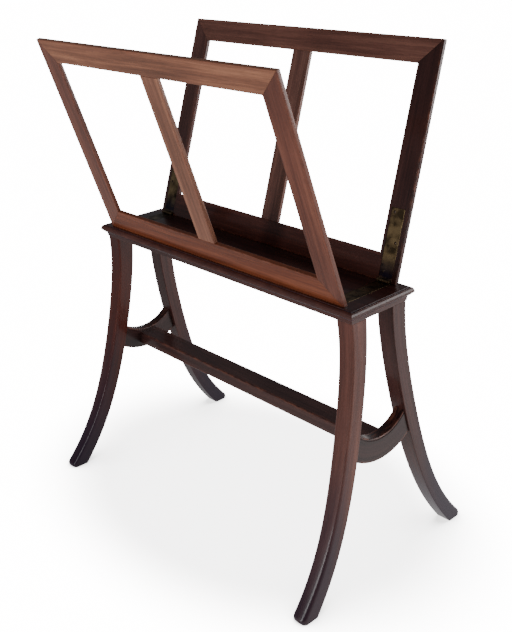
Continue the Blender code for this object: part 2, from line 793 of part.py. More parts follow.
def hoop_shoulder(bm, end, side):
    """Add the body that trims a hoop to a leg's inner edge."""
    rings = []
    x = sorted((end * (HOOP_INNER_X - 0.01), end * (HOOP_OUTER_X + 0.01)))
    for z in np.linspace(LEG_TOP_Z * 0.35, LEG_TOP_Z * 0.85, 24):
        _, inner = leg_edges(z)
        near = side * (inner - GAP)
        far = side * 0.3
        rings.append([(x[0], near, z), (x[1], near, z), (x[1], far, z), (x[0], far, z)])
    add_loft(bm, rings)


def make_stretcher():
    """Build the long flat stretcher with a tenon at each end."""
    low = (-STRETCHER_HALF_DEPTH, STRETCHER_TOP_Z - STRETCHER_THICK)
    high = (STRETCHER_HALF_DEPTH, STRETCHER_TOP_Z)
    section = round_rect(low, high, [STRETCHER_ARRIS] * 4, 4)
    bm = bmesh.new()
    rings = []
    for end in (-1, 1):
        rings.append([(end * (HOOP_INNER_X - GAP), y, z) for y, z in section])
    add_loft(bm, rings)
    obj = add_object("long_stretcher", bm)
    tenons = bmesh.new()
    for end in (-1, 1):
        corner_low, corner_high = stretcher_tenon(end, 0)
        add_box(tenons, corner_low, corner_high)
    combine(obj, tenons, "UNION")
    for vertex in obj.data.vertices:
        share = 1 - vertex.co.z / LEG_TOP_Z
        vertex.co.x += math.copysign(LEG_CANT * share, vertex.co.x)
    finish(obj, wood("long_stretcher"), smooth=True)
    return obj


def make_frame(word, side):
    """Build one frame on its fold axis."""
    half = FRAME_LENGTH / 2
    stile_low = half - STILE_WIDTH
    rail_low = FRAME_HEIGHT - TOP_RAIL_WIDTH
    objects = []
    corners = ((-1, 1), (1, 1))
    size = ((-half, rail_low), (half, FRAME_HEIGHT))
    objects.append(make_member(word + "_top_rail", side, size[0], size[1], True, corners))
    corners = ((-1, -1), (1, -1))
    size = ((-half, 0), (half, BOTTOM_RAIL_WIDTH))
    objects.append(make_member(word + "_bottom_rail", side, size[0], size[1], True, corners))
    for end_word, end in (("left", -1), ("right", 1)):
        x = sorted((end * stile_low, end * half))
        corners = ((end, -1), (end, 1))
        name = word + "_" + end_word
        objects.append(make_member(name + "_stile", side, (x[0], 0), (x[1], FRAME_HEIGHT), False, corners))
        objects.append(make_stile_leaf(name + "_leaf", side, end))
        for i, place in enumerate(stile_screw_places(end)):
            matrix = frame_matrix(side) @ place
            objects.append(make_screw(f"{name}_screw_{i + 1}", matrix, 0.7 + 1.9 * i))
    objects.append(make_muntin(word + "_muntin", side))
    axis = bpy.data.objects.new(word + "_fold_axis", None)
    axis.location = (0, side * HINGE_Y, HINGE_Z)
    bpy.context.scene.collection.objects.link(axis)
    hang(objects, axis)


def main():
    """Build the whole stand."""
    for obj in list(bpy.data.objects):
        bpy.data.objects.remove(obj)
    make_board()
    make_band("front_moulding", 1, -1)
    make_band("back_moulding", 1, 1)
    make_band("left_moulding", 0, -1)
    make_band("right_moulding", 0, 1)
    for word, end in (("left", -1), ("right", 1)):
        make_bearer(word + "_bearer", end)
        make_leg("front_" + word + "_leg", end, -1)
        make_leg("back_" + word + "_leg", end, 1)
        make_hoop(word + "_hoop", end)
        make_table_leaf(word + "_platform_leaf", end)
        for i, matrix in enumerate(table_screw_matrices(end)):
            make_screw(f"{word}_platform_screw_{i + 1}", matrix, 0.3 + 2.3 * i)
        make_pin("front_" + word + "_pin", -1, end)
        make_pin("back_" + word + "_pin", 1, end)
    make_stretcher()
    make_frame("front_frame", -1)
    make_frame("back_frame", 1)


main()
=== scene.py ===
"""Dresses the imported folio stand: polished mahogany, aged brass hinges, a studio stage."""
import math

import bmesh
import bpy
import numpy as np
from bpy.props import FloatProperty, IntProperty, PointerProperty, StringProperty
from mathutils import Matrix, Vector


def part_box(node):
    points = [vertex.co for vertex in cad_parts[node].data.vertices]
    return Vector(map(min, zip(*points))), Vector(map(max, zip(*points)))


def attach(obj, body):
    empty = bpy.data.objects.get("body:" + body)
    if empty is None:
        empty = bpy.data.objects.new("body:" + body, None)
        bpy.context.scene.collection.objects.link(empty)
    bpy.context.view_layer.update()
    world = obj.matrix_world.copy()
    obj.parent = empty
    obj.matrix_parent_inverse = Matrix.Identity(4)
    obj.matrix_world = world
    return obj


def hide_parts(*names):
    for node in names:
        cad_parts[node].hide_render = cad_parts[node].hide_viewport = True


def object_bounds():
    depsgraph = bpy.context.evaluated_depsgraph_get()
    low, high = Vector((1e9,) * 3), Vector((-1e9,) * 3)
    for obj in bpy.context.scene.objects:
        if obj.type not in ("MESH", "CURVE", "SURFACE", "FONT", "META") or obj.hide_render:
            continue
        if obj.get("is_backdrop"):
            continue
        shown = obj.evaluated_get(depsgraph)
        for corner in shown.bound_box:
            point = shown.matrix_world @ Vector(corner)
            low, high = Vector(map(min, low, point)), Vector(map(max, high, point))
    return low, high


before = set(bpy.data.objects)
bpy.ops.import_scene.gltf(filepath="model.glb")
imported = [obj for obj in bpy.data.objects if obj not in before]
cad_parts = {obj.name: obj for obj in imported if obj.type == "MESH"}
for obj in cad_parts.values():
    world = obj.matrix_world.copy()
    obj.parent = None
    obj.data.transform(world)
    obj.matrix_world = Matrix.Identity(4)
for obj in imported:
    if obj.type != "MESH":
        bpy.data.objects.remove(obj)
CAD_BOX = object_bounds()

bl_info = {
    "name": "Folio Stand Dresser",
    "version": (1, 0, 0),
    "blender": (4, 5, 0),
    "location": "View3D > Sidebar > Folio Stand",
    "description": "Builds the visible mahogany and brass pieces of a hinged folio stand",
    "category": "Object",
}

# Clearance between pieces that touch, as in the solids
GAP = 0.0003
# Edges shorter than this are slivers left by a cut
CUT_SLIVER = 2e-6
# How far a cutting body, or a board that gets trimmed, reaches past the cut
OVERRUN = 0.001
# How far from a rounded edge a further line keeps the flat face flat in the shading
SUPPORT = 0.004
# Faces that meet at more than this angle keep a crisp edge
CRISP_ANGLE = math.radians(38)
# The photograph's frame and the centre of its perspective in pixels, and its lens in pixels
IMAGE = (512, 632)
MIDDLE = (299.89, 189.95)
FOCAL = 961.29
# The camera's place, and its yaw, pitch and roll
CAMERA_PLACE = (1.5579, -1.3215, 1.3296)
CAMERA_TURN = (math.radians(45.868), math.radians(-16.0285), math.radians(-1.8391))
# The point that every lamp faces
LIT_POINT = (0, 0, 0.6)
# Brightness of the paper and of the room as the camera sees them, of the paper in its painted shadow
# under the stand, and as the stand does
PAPER_SEEN = 16.0
PAPER_SHADE = 5.4
PAPER_GLOW = (0.20, 0.80)
# Half length and half depth of the painted soft shadow on the paper
SHADE_REACH = (0.56, 0.38)
ROOM_SEEN = 19.0
ROOM_LOW = 0.20
ROOM_HIGH = 0.08
# How light and how deep in colour each piece is beside the ground colour of the mahogany: partly each
# board's own colour and partly painted light and shade, with the front frame painted lighter and the
# back frame and the platform painted darker where shade falls between the frames
TONES_AND_PAINTED_LIGHT = {
    "front_frame_top_rail": (2.65, 0.96),
    "front_frame_bottom_rail": (1.9, 1.10),
    "front_frame_left_stile": (1.75, 0.94),
    "front_frame_right_stile": (1.65, 0.99),
    "front_frame_muntin": (2.6, 0.92),
    "back_frame_top_rail": (1.75, 0.88),
    "back_frame_bottom_rail": (0.8, 1.0),
    "back_frame_left_stile": (1.0, 0.85),
    "back_frame_right_stile": (0.52, 0.90),
    "back_frame_muntin": (1.75, 0.82),
    "front_left_leg": (0.6, 1.20),
    "front_right_leg": (1.25, 0.95),
    "platform_board": (0.52, 0.95),
    "left_hoop": (0.36, 0.80),
    "right_hoop": (0.36, 0.80),
    "long_stretcher": (0.6, 0.80),
}
COMMON_TONE = (0.58, 0.92)
ENDS = (("left", -1), ("right", 1))
SIDES = (("front", -1), ("back", 1))


def length(name, description, default):
    """Return a length property in metres."""
    return FloatProperty(
        name=name,
        description=description,
        default=default,
        unit="LENGTH",
        precision=4,
    )


def colour(name, description, default):
    """Return a colour property that holds an sRGB hex value."""
    return StringProperty(name=name, description=description, default=default, maxlen=7)


class FolioFrameSizes(bpy.types.PropertyGroup):
    """Sizes of the two open frames, measured up their own slope."""

    length: length("Length", "Length of a frame along the platform", 0.780)
    height: length("Height", "Height of a frame up its slope", 0.503)
    thick: length("Thickness", "Thickness of the frame boards", 0.010)
    stile: length("Stile", "Width of the upright boards at the ends", 0.055)
    top_rail: length("Top rail", "Width of the top board", 0.053)
    bottom_rail: length("Bottom rail", "Width of the bottom board", 0.0565)
    muntin: length("Muntin", "Width of the upright board in the middle", 0.0545)
    lean: FloatProperty(
        name="Lean",
        description="Outward lean at rest",
        default=math.radians(18),
        unit="ROTATION",
    )
    foot: length("Foot line", "Inner foot edge from the middle plane", 0.0701)
    arris: length("Arris", "Rounding of the boards' long edges", 0.0014)


class FolioPlatformSizes(bpy.types.PropertyGroup):
    """Sizes of the platform board, its moulded edge and the moulding below it."""

    top: length("Top", "Height of the polished top", 0.6036)
    thick: length("Thickness", "Thickness of the board", 0.020)
    half_x: length("Half length", "Half length of the flat top", 0.4141)
    half_y: length("Half depth", "Half depth of the flat top", 0.0864146)
    nose: length("Nose", "How far the moulded edge stands out", 0.0077)
    fillet: length("Fillet", "Drop of the small step at the top edge", 0.0012)
    thumb: length("Thumb", "Drop of the rounded part below the step", 0.0103)
    nose_drop: length("Nose drop", "Height of the upright nose", 0.0006)
    undercut: length("Undercut", "How far the underside stands back from the nose", 0.0087)
    band: length("Moulding", "Height and width of the planted moulding", 0.0100)
    band_x: length("Moulding half length", "Half length over the moulding", 0.4121)
    band_y: length("Moulding half depth", "Half depth over the moulding", 0.0834146)
    splay: length("Splay", "How far the moulding's face slopes in towards its foot", 0.0016)


class FolioLegSizes(bpy.types.PropertyGroup):
    """Sizes of the sabre legs and the stretchers between them."""

    outer_x: length("Outer face", "Outer face of a leg at its top", 0.4102)
    top_y: length("Top face", "Outer edge of a leg at its top", 0.0813146)
    cant: length("Cant", "How far the feet stand out along the stand", 0.0175)
    toe: length("Toe", "Rounding of the toe at the floor", 0.0085)
    crown: length("Crown", "How far the foot's outer face is crowned", 0.0032)
    outer_arris: length("Outer arris", "Rounding of a leg's outer edges", 0.0035)
    inner_arris: length("Inner arris", "Rounding of a leg's inner edges", 0.0015)
    hoop_z: length("Hoop centre", "Height of the centre of the hoops' arcs", 0.4024)
    hoop_radius: length("Hoop radius", "Radius of a hoop's upper edge", 0.0975)
    hoop_depth: length("Hoop depth", "Depth of a hoop from its upper edge", 0.0505)
    hoop_thick: length("Hoop thickness", "Thickness of a hoop", 0.025)
    hoop_recess: length("Hoop recess", "How far a hoop stands back from the legs' faces", 0.004)
    bead: length("Bead", "Height of the bead along a hoop's upper edge", 0.0050)
    quirk: length("Quirk", "Depth of the groove below the bead", 0.0010)
    stretcher_depth: length("Stretcher depth", "Depth of the long stretcher from front to back", 0.052)
    stretcher_thick: length("Stretcher thickness", "Thickness of the long stretcher", 0.0294)
    stretcher_top: length("Stretcher top", "Height of the long stretcher's top", 0.2986)
    stretcher_arris: length("Stretcher arris", "Rounding of the long stretcher's edges", 0.0025)


class FolioHingeSizes(bpy.types.PropertyGroup):
    """Sizes of the brass strap hinges and their screws."""

    width: length("Width", "Width of a leaf along the stand", 0.034)
    centre: length("Centre", "Middle of a leaf from the middle of the stand", 0.361)
    thick: length("Thickness", "Thickness of a leaf", 0.0020)
    reach: length("Reach", "Length of a stile leaf up the slope", 0.153)
    knuckle: length("Knuckle", "Outer radius of a knuckle", 0.0032)
    play: length("Play", "Gap between neighbouring knuckles", 0.0004)
    knuckles: IntProperty(name="Knuckles", description="Knuckles along one joint", default=5, min=3)
    pin: length("Pin", "Radius of a hinge pin", 0.0012)
    arris: length("Arris", "Rounding of the leaves' and knuckles' edges", 0.0004)
    head: length("Screw head", "Radius of a screw head", 0.0030)
    stagger: length("Stagger", "Screws' distance from the middle of a leaf", 0.0085)


class FolioFinish(bpy.types.PropertyGroup):
    """Colours of the finishes, as sRGB hex values, and the size of their patterns."""

    wood_dark: colour("Dark figure", "Darkest figure of the mahogany", "#3B1C18")
    wood_mid: colour("Ground", "Ground colour of the mahogany", "#63332A")
    wood_light: colour("Light figure", "Lightest figure of the mahogany", "#8A5142")
    wood_worn: colour("Worn edge", "Mahogany where the polish is rubbed", "#9C5F4A")
    # Dark colour laid over wood and brass: painted shade in the quirks, at the feet of the legs and on
    # the hinge leaves, and a darkening of the screws
    wood_wax_and_shade: colour("Old wax", "Wax and dust in the quirks and on the feet", "#242138")
    # Also the colour of the painted highlight along the leaves' outer rims
    brass_bright: colour("Bright brass", "Brass where hands rub it", "#C0A478")
    brass_dull: colour("Dull brass", "Brass under old lacquer", "#8A7454")
    brass_dark: colour("Tarnish", "Tarnish in the corners of the brass", "#44382A")
    floor: colour("Floor", "Pale studio floor", "#B8B7B7")
    ribbon: length("Ribbon", "Width of the mahogany's ribbon figure", 0.011)
    pore: length("Pore", "Length of a pore line, drawn coarser than life so that it shows", 0.030)


def sizes(group):
    """Return one property group of the scene."""
    return getattr(bpy.context.scene, "folio_" + group)


def srgb(hex_value):
    """Turn an sRGB hex value into a linear colour."""
    channels = [int(hex_value[i:i + 2], 16) / 255 for i in (1, 3, 5)]
    linear = [c / 12.92 if c <= 0.04045 else ((c + 0.055) / 1.055) ** 2.4 for c in channels]
    return (*linear, 1.0)


# Materials


def add_node(tree, kind, inputs=None, **settings):
    """Add a node, set its settings, and link or set its inputs, another node by its first output."""
    node = tree.nodes.new(kind)
    for name, value in settings.items():
        setattr(node, name, value)
    for key, value in (inputs or {}).items():
        if isinstance(value, bpy.types.Node):
            value = value.outputs[0]
        if isinstance(value, bpy.types.NodeSocket):
            tree.links.new(value, node.inputs[key])
        else:
            node.inputs[key].default_value = value
    return node


def new_material(name):
    """Return an empty node material and its tree."""
    mat = bpy.data.materials.get(name)
    if mat:
        return mat, None
    mat = bpy.data.materials.new(name)
    mat.use_nodes = True
    mat.node_tree.nodes.clear()
    return mat, mat.node_tree


def set_stops(ramp, stops):
    """Set a colour ramp's positions and linear colours, and return its colour."""
    elements = ramp.color_ramp.elements
    while len(elements) < len(stops):
        elements.new(0.5)
    for element, (position, value) in zip(elements, stops):
        element.position = position
        element.color = value
    return ramp.outputs["Color"]


def stretched(tree, vector, scale, detail, roughness=0.5, distortion=0.0):
    """Add noise stretched by a size in metres along, across and through the grain."""
    mapping = add_node(tree, "ShaderNodeMapping", {
        "Vector": vector,
        "Scale": [1 / size for size in scale],
    })
    noise = add_node(tree, "ShaderNodeTexNoise", {
        "Vector": mapping,
        "Scale": 1.0,
        "Detail": detail,
        "Roughness": roughness,
        "Distortion": distortion,
    })
    return noise


def under_wax_and_shade(tree, surface):
    """Cover a colour with the dark colour where the piece's own attribute says so, mostly as painted
    shade.
    """
    wax = add_node(tree, "ShaderNodeAttribute", attribute_name="wax").outputs["Fac"]
    over = srgb(sizes("finish").wood_wax_and_shade)
    mix = add_node(tree, "ShaderNodeMix", {"Factor": wax, 6: surface, 7: over}, data_type="RGBA")
    return mix.outputs[2]


def polished_mahogany(piece):
    """French-polished Cuban mahogany: a deep red-brown ribbon figure under a clear shellac gloss.

    Each board has its own lightness and depth of colour, partly its own colour and partly painted light
    and shade.
    """
    finish = sizes("finish")
    # Each piece's lightness comes from the table and holds painted light and shade besides the board's
    # own colour
    lightness_and_shade, depth = TONES_AND_PAINTED_LIGHT.get(piece, COMMON_TONE)
    mat, tree = new_material(f"french_polished_mahogany_{round(lightness_and_shade * 100)}_{round(depth * 100)}")
    if not tree:
        return mat
    grain = add_node(tree, "ShaderNodeAttribute", attribute_name="grain").outputs["Vector"]
    wear = add_node(tree, "ShaderNodeAttribute", attribute_name="wear").outputs["Fac"]
    # Ribbon figure about 11 mm wide runs for a hand's length along the board
    ribbon = stretched(tree, grain, (0.26, finish.ribbon, finish.ribbon), 3.0, 0.55, 0.35)
    cloud = stretched(tree, grain, (0.34, 0.060, 0.060), 2.0)
    streak = stretched(tree, grain, (0.120, 0.0026, 0.0026), 2.0, 0.6)
    # Open pores are dark dashes, drawn about three times as wide as life
    pore = stretched(tree, grain, (finish.pore, 0.0010, 0.0010), 1.0)
    blend = add_node(tree, "ShaderNodeMix", {"Factor": 0.42, "A": ribbon, "B": cloud})
    fine = add_node(tree, "ShaderNodeMix", {"Factor": 0.18, "A": blend, "B": streak})
    colours = add_node(tree, "ShaderNodeValToRGB", {"Fac": fine})
    figure = set_stops(colours, (
        (0.30, srgb(finish.wood_dark)),
        (0.50, srgb(finish.wood_mid)),
        (0.74, srgb(finish.wood_light)),
    ))
    # Lighter pieces are turned slightly browner as well
    body = add_node(tree, "ShaderNodeHueSaturation", {
        "Color": figure,
        "Hue": 0.5 + 0.012 * (lightness_and_shade - 1),
        "Saturation": depth,
        "Value": lightness_and_shade,
    })
    pores = add_node(tree, "ShaderNodeMapRange", {
        "Value": pore,
        "From Min": 0.36,
        "From Max": 0.44,
        "To Min": 0.78,
    })
    dark = add_node(tree, "ShaderNodeMix", {
        "Factor": 1.0,
        6: body,
        7: pores,
    }, data_type="RGBA", blend_type="MULTIPLY")
    # The polish is rubbed through in flecks of a few millimetres
    rub = stretched(tree, grain, (0.018, 0.006, 0.006), 3.0)
    worn = add_node(tree, "ShaderNodeMapRange", {"Value": rub, "From Min": 0.42, "From Max": 0.72})
    amount = add_node(tree, "ShaderNodeMath", {0: worn, 1: wear}, operation="MULTIPLY")
    base = add_node(tree, "ShaderNodeMix", {
        "Factor": amount,
        6: dark.outputs[2],
        7: srgb(finish.wood_worn),
    }, data_type="RGBA")
    gloss = add_node(tree, "ShaderNodeMapRange", {
        "Value": cloud,
        "From Min": 0.3,
        "From Max": 0.7,
        "To Min": 0.24,
        "To Max": 0.38,
    })
    relief = add_node(tree, "ShaderNodeMix", {"Factor": 0.5, "A": pores, "B": streak})
    bump = add_node(tree, "ShaderNodeBump", {"Height": relief, "Strength": 0.35, "Distance": 0.00012})
    shader = add_node(tree, "ShaderNodeBsdfPrincipled", {
        "Base Color": under_wax_and_shade(tree, base.outputs[2]),
        "Roughness": gloss,
        "Normal": bump,
        "IOR": 1.48,
        "Specular IOR Level": 0.35,
        "Coat Weight": 0.25,
        "Coat Roughness": 0.08,
        "Coat IOR": 1.50,
    })
    add_node(tree, "ShaderNodeOutputMaterial", {"Surface": shader})
    return mat


def aged_brass():
    """Rolled brass under old lacquer: dull ochre, darker in blotches, bright on the rubbed edges, and
    painted bright along the leaves' outer rims as a highlight.
    """
    finish = sizes("finish")
    mat, tree = new_material("aged_rolled_brass")
    if not tree:
        return mat
    place = add_node(tree, "ShaderNodeTexCoord").outputs["Object"]
    wear = add_node(tree, "ShaderNodeAttribute", attribute_name="wear").outputs["Fac"]
    # Lacquer wears off in soft patches of about 20 mm, and rolling marks run along the leaf
    blotch = stretched(tree, place, (0.020, 0.020, 0.020), 3.0, 0.45)
    speck = stretched(tree, place, (0.0020, 0.0020, 0.0020), 2.0)
    mark = stretched(tree, place, (0.0006, 0.030, 0.030), 2.0)
    mix = add_node(tree, "ShaderNodeMix", {"Factor": 0.15, "A": blotch, "B": speck})
    tarnish = set_stops(add_node(tree, "ShaderNodeValToRGB", {"Fac": mix}), (
        (0.36, srgb(finish.brass_dark)),
        (0.56, srgb(finish.brass_dull)),
        (0.84, srgb(finish.brass_bright)),
    ))
    base = add_node(tree, "ShaderNodeMix", {
        "Factor": wear,
        6: tarnish,
        7: srgb(finish.brass_bright),
    }, data_type="RGBA")
    rough = add_node(tree, "ShaderNodeMapRange", {
        "Value": blotch,
        "From Min": 0.3,
        "From Max": 0.7,
        "To Min": 0.52,
        "To Max": 0.30,
    })
    bump = add_node(tree, "ShaderNodeBump", {"Height": mark, "Strength": 0.25, "Distance": 0.00008})
    shader = add_node(tree, "ShaderNodeBsdfPrincipled", {
        "Base Color": under_wax_and_shade(tree, base.outputs[2]),
        "Roughness": rough,
        "Normal": bump,
        "Metallic": 1.0,
    })
    add_node(tree, "ShaderNodeOutputMaterial", {"Surface": shader})
    return mat


def studio_paper():
    """Matt white background paper, smooth and without a sheen, that glows to light the stand and carries
    a painted soft shadow under it and painted contact shade by the feet.
    """
    mat, tree = new_material("matt_background_paper")
    if not tree:
        return mat
    # Seen by the camera the paper burns out to white, but for a painted soft shadow under the stand
    path = add_node(tree, "ShaderNodeLightPath")
    place = add_node(tree, "ShaderNodeTexCoord").outputs["Object"]
    pool = add_node(tree, "ShaderNodeVectorMath", {
        0: place,
        1: (1 / SHADE_REACH[0], 1 / SHADE_REACH[1], 0.0),
    }, operation="MULTIPLY")
    far = add_node(tree, "ShaderNodeVectorMath", {0: pool}, operation="LENGTH")
    clear = add_node(tree, "ShaderNodeMapRange", {
        "Value": far.outputs["Value"],
        "From Min": 0.75,
        "From Max": 1.3,
        "To Min": PAPER_SHADE,
        "To Max": PAPER_SEEN,
    }, interpolation_type="SMOOTHSTEP")
    # Painted contact shade darkens the paper close to the feet and below the stand
    nearness = add_node(tree, "ShaderNodeAmbientOcclusion", {"Distance": 0.25}, samples=16)
    touch = add_node(tree, "ShaderNodeMapRange", {
        "Value": nearness.outputs["AO"],
        "From Min": 0.5,
        "From Max": 0.95,
        "To Min": 0.30,
    })
    shade = add_node(tree, "ShaderNodeMath", {0: clear, 1: touch}, operation="MULTIPLY")
    # The stand itself is lit by paper that grows brighter to the back right
    across = add_node(tree, "ShaderNodeVectorMath", {
        0: place,
        1: (0.6, 0.6, 0.0),
    }, operation="DOT_PRODUCT")
    slope = add_node(tree, "ShaderNodeMapRange", {
        "Value": across.outputs["Value"],
        "From Min": -0.45,
        "From Max": 0.6,
        "To Min": PAPER_GLOW[0],
        "To Max": PAPER_GLOW[1],
    })
    glow = add_node(tree, "ShaderNodeMix", {"Factor": path, "A": slope, "B": shade})
    shader = add_node(tree, "ShaderNodeBsdfPrincipled", {
        "Base Color": srgb(sizes("finish").floor),
        "Emission Color": (1.0, 0.985, 0.98, 1.0),
        "Emission Strength": glow,
        "Roughness": 0.9,
        "Specular IOR Level": 0.0,
    })
    add_node(tree, "ShaderNodeOutputMaterial", {"Surface": shader})
    return mat


# Mesh tools


def placed(origin, x_axis, y_axis, z_axis):
    """Return the place with its origin at a point and its axes along three directions."""
    matrix = Matrix((x_axis, y_axis, z_axis)).transposed().to_4x4()
    matrix.translation = origin
    return matrix


def arc(centre, radius, start, steps, span=math.pi / 2):
    """Return points along an arc, with both its ends."""
    points = []
    for step in range(steps + 1):
        angle = start + step / steps * span
        points.append((centre[0] + radius * math.cos(angle), centre[1] + radius * math.sin(angle)))
    return points


def add_object(name, data):
    """Add an object with the given data to the scene."""
    obj = bpy.data.objects.new(name, data)
    bpy.context.scene.collection.objects.link(obj)
    return obj


def add_loft(bm, rings):
    """Join rings of points of equal count into one closed body."""
    loops = []
    for ring in rings:
        loops.append([bm.verts.new(point) for point in ring])
    count = len(loops[0])
    for low, high in zip(loops, loops[1:]):
        for i in range(count):
            j = (i + 1) % count
            bm.faces.new((low[i], low[j], high[j], high[i]))
    bm.faces.new(loops[0])
    bm.faces.new(loops[-1])


def close(name, bm):
    """Turn a bmesh into an object with its faces turned outwards."""
    bmesh.ops.remove_doubles(bm, verts=bm.verts, dist=1e-6)
    bmesh.ops.recalc_face_normals(bm, faces=bm.faces)
    mesh = bpy.data.meshes.new(name)
    bm.to_mesh(mesh)
    bm.free()
    return add_object(name, mesh)


def lofted(name, rings):
    """Return a new closed object through rings of points."""
    bm = bmesh.new()
    add_loft(bm, rings)
    return close(name, bm)


def add_box(bm, low, high, matrix=Matrix.Identity(4)):
    """Add a box between two corners, placed by a matrix."""
    corners = ((low[0], low[1]), (high[0], low[1]), (high[0], high[1]), (low[0], high[1]))
    add_loft(bm, [[matrix @ Vector((x, y, z)) for x, y in corners] for z in (low[2], high[2])])


def add_rod(bm, matrix, radii, heights, sides):
    """Add a turned body: radii at heights along local z."""
    rings = []
    for radius, height in zip(radii, heights):
        circle = arc((0, 0), radius, math.pi / sides, sides, 2 * math.pi)[:-1]
        rings.append([matrix @ Vector((x, y, height)) for x, y in circle])
    add_loft(bm, rings)


def section(low, high, radii, steps=5, support=0.005):
    """Return a rectangle with rounded corners and a support point beside each arc."""
    points = []
    corners = ((low[0], low[1]), (high[0], low[1]), (high[0], high[1]), (low[0], high[1]))
    inward = ((1, 1), (-1, 1), (-1, -1), (1, -1))
    for i, (corner, turn, radius) in enumerate(zip(corners, inward, radii)):
        centre = (corner[0] + turn[0] * radius, corner[1] + turn[1] * radius)
        curve = arc(centre, radius, math.pi + i * math.pi / 2, steps)
        # The arc starts on the side along one axis and ends on the side along the other
        for axis, place in (((i + 1) % 2, 0), (i % 2, len(curve) + 1)):
            room = (high[axis] - low[axis]) / 2 - radius - 1e-5
            point = list(curve[0] if place == 0 else curve[-1])
            point[axis] += turn[axis] * min(support, room)
            curve.insert(place, tuple(point))
        points += curve
    return points


def trim(bm, point, normal):
    """Cut away what lies beyond a plane and close the cut."""
    geometry = bm.verts[:] + bm.edges[:] + bm.faces[:]
    cut = bmesh.ops.bisect_plane(bm, geom=geometry, plane_co=point, plane_no=normal, clear_outer=True)
    edges = [item for item in cut["geom_cut"] if isinstance(item, bmesh.types.BMEdge)]
    bmesh.ops.holes_fill(bm, edges=edges)


def bake_modifiers(obj):
    """Apply an object's modifiers to its mesh."""
    bpy.context.view_layer.update()
    depsgraph = bpy.context.evaluated_depsgraph_get()
    result = bpy.data.meshes.new_from_object(obj.evaluated_get(depsgraph))
    obj.modifiers.clear()
    old = obj.data
    obj.data = result
    bpy.data.meshes.remove(old)


def combine(obj, bm, operation):
    """Cut the bodies of a bmesh out of an object, or add them to it."""
    tool = close(obj.name + "_tool", bm)
    modifier = obj.modifiers.new("tool", "BOOLEAN")
    modifier.operation = operation
    modifier.solver = "EXACT"
    modifier.use_self = True
    modifier.object = tool
    bake_modifiers(obj)
    bpy.data.objects.remove(tool)


def clean_cuts(obj, points, along):
    """Merge what the cuts left doubled, and add a line across at each point for the painting."""
    bm = bmesh.new()
    bm.from_mesh(obj.data)
    bmesh.ops.triangulate(bm, faces=bm.faces)
    bmesh.ops.remove_doubles(bm, verts=bm.verts, dist=CUT_SLIVER)
    bmesh.ops.dissolve_degenerate(bm, dist=CUT_SLIVER, edges=bm.edges)
    for point in points:
        geometry = bm.verts[:] + bm.edges[:] + bm.faces[:]
        bmesh.ops.bisect_plane(bm, geom=geometry, dist=CUT_SLIVER, plane_co=point, plane_no=along)
    bm.to_mesh(obj.data)
    bm.free()


def unshaded_and_unwaxed(point):
    """Return no painted shade and no darkening, for a piece left clean all over."""
    return 0.0


def paint(obj, where, shade_and_wax=unshaded_and_unwaxed):
    """Store the grain's directions, the wear with its painted highlights, and the painted shade and
    darkening for each vertex, from its place.
    """
    mesh = obj.data
    grains = []
    wear_and_highlight_values = []
    wax_and_shade_values = []
    for vertex in mesh.vertices:
        place, worn = where(vertex.co)
        grains.extend(place)
        wear_and_highlight_values.append(worn)
        wax_and_shade_values.append(shade_and_wax(vertex.co))
    grain = mesh.attributes.new("grain", "FLOAT_VECTOR", "POINT")
    grain.data.foreach_set("vector", grains)
    for name, values in (("wear", wear_and_highlight_values), ("wax", wax_and_shade_values)):
        mesh.attributes.new(name, "FLOAT", "POINT")
        mesh.attributes[name].data.foreach_set("value", values)


def rubbed(a, b, low, high, reach=0.004):
    """Return the wear at a point of a section: full on its corners, none away from them."""
    side = min(abs(a - low[0]), abs(a - high[0]))
    face = min(abs(b - low[1]), abs(b - high[1]))
    return max(0.0, 1 - math.hypot(side, face) / reach)


def present(obj, mat, body, nodes):
    """Give a finished piece its material and shading and put it in its CAD nodes' place."""
    obj.data.materials.clear()
    obj.data.materials.append(mat)
    obj.data.shade_smooth()
    obj.data.set_sharp_from_angle(angle=CRISP_ANGLE)
    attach(obj, body)
    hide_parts(*nodes)


def polish(obj, name, where, shade_and_wax=unshaded_and_unwaxed):
    """Paint a finished wooden piece of the base and put it in its node's place."""
    paint(obj, where, shade_and_wax)
    present(obj, polished_mahogany(name), "base", [name])


# Frames

# How far apart in the grain the boards are sawn, along for each letter value and across
GRAIN_STEP = 0.173
GRAIN_DRIFT = 0.37


def frame_matrix(side):
    """Return the place of a frame: local x along, y up the slope, z outwards."""
    size = sizes("frames")
    sine, cosine = math.sin(size.lean), math.cos(size.lean)
    foot = (0, side * size.foot, sizes("platform").top + GAP)
    return placed(foot, (1, 0, 0), (0, side * sine, cosine), (0, side * cosine, -sine))


def hinge_setback():
    """Return how far a hinge's axis stands in from the foot line."""
    lean = sizes("frames").lean
    return (sizes("hinges").knuckle + GAP) * (1 - math.sin(lean)) / math.cos(lean)


def mitre(corner_x, corner_y):
    """Return a corner's outer point and the direction from its mitre to the rail."""
    size = sizes("frames")
    rail = size.top_rail if corner_y > 0 else size.bottom_rail
    outer = Vector((corner_x * size.length / 2, size.height if corner_y > 0 else 0, 0))
    return outer, Vector((-corner_x * rail, corner_y * size.stile, 0)).normalized()


def leaf_span(end, room=0.0):
    """Return the low and high edge of a leaf along the stand, with room around it."""
    hinge = sizes("hinges")
    half = hinge.width / 2 + room
    return end * hinge.centre - half, end * hinge.centre + half


def add_leaf_beds(bm):
    """Add the shallow beds that take the hinge leaves in a frame."""
    hinge = sizes("hinges")
    below = -4 * OVERRUN
    for _, end in ENDS:
        low, high = leaf_span(end, GAP)
        add_box(bm, (low, below, below), (high, hinge.reach + GAP, hinge.thick + GAP))


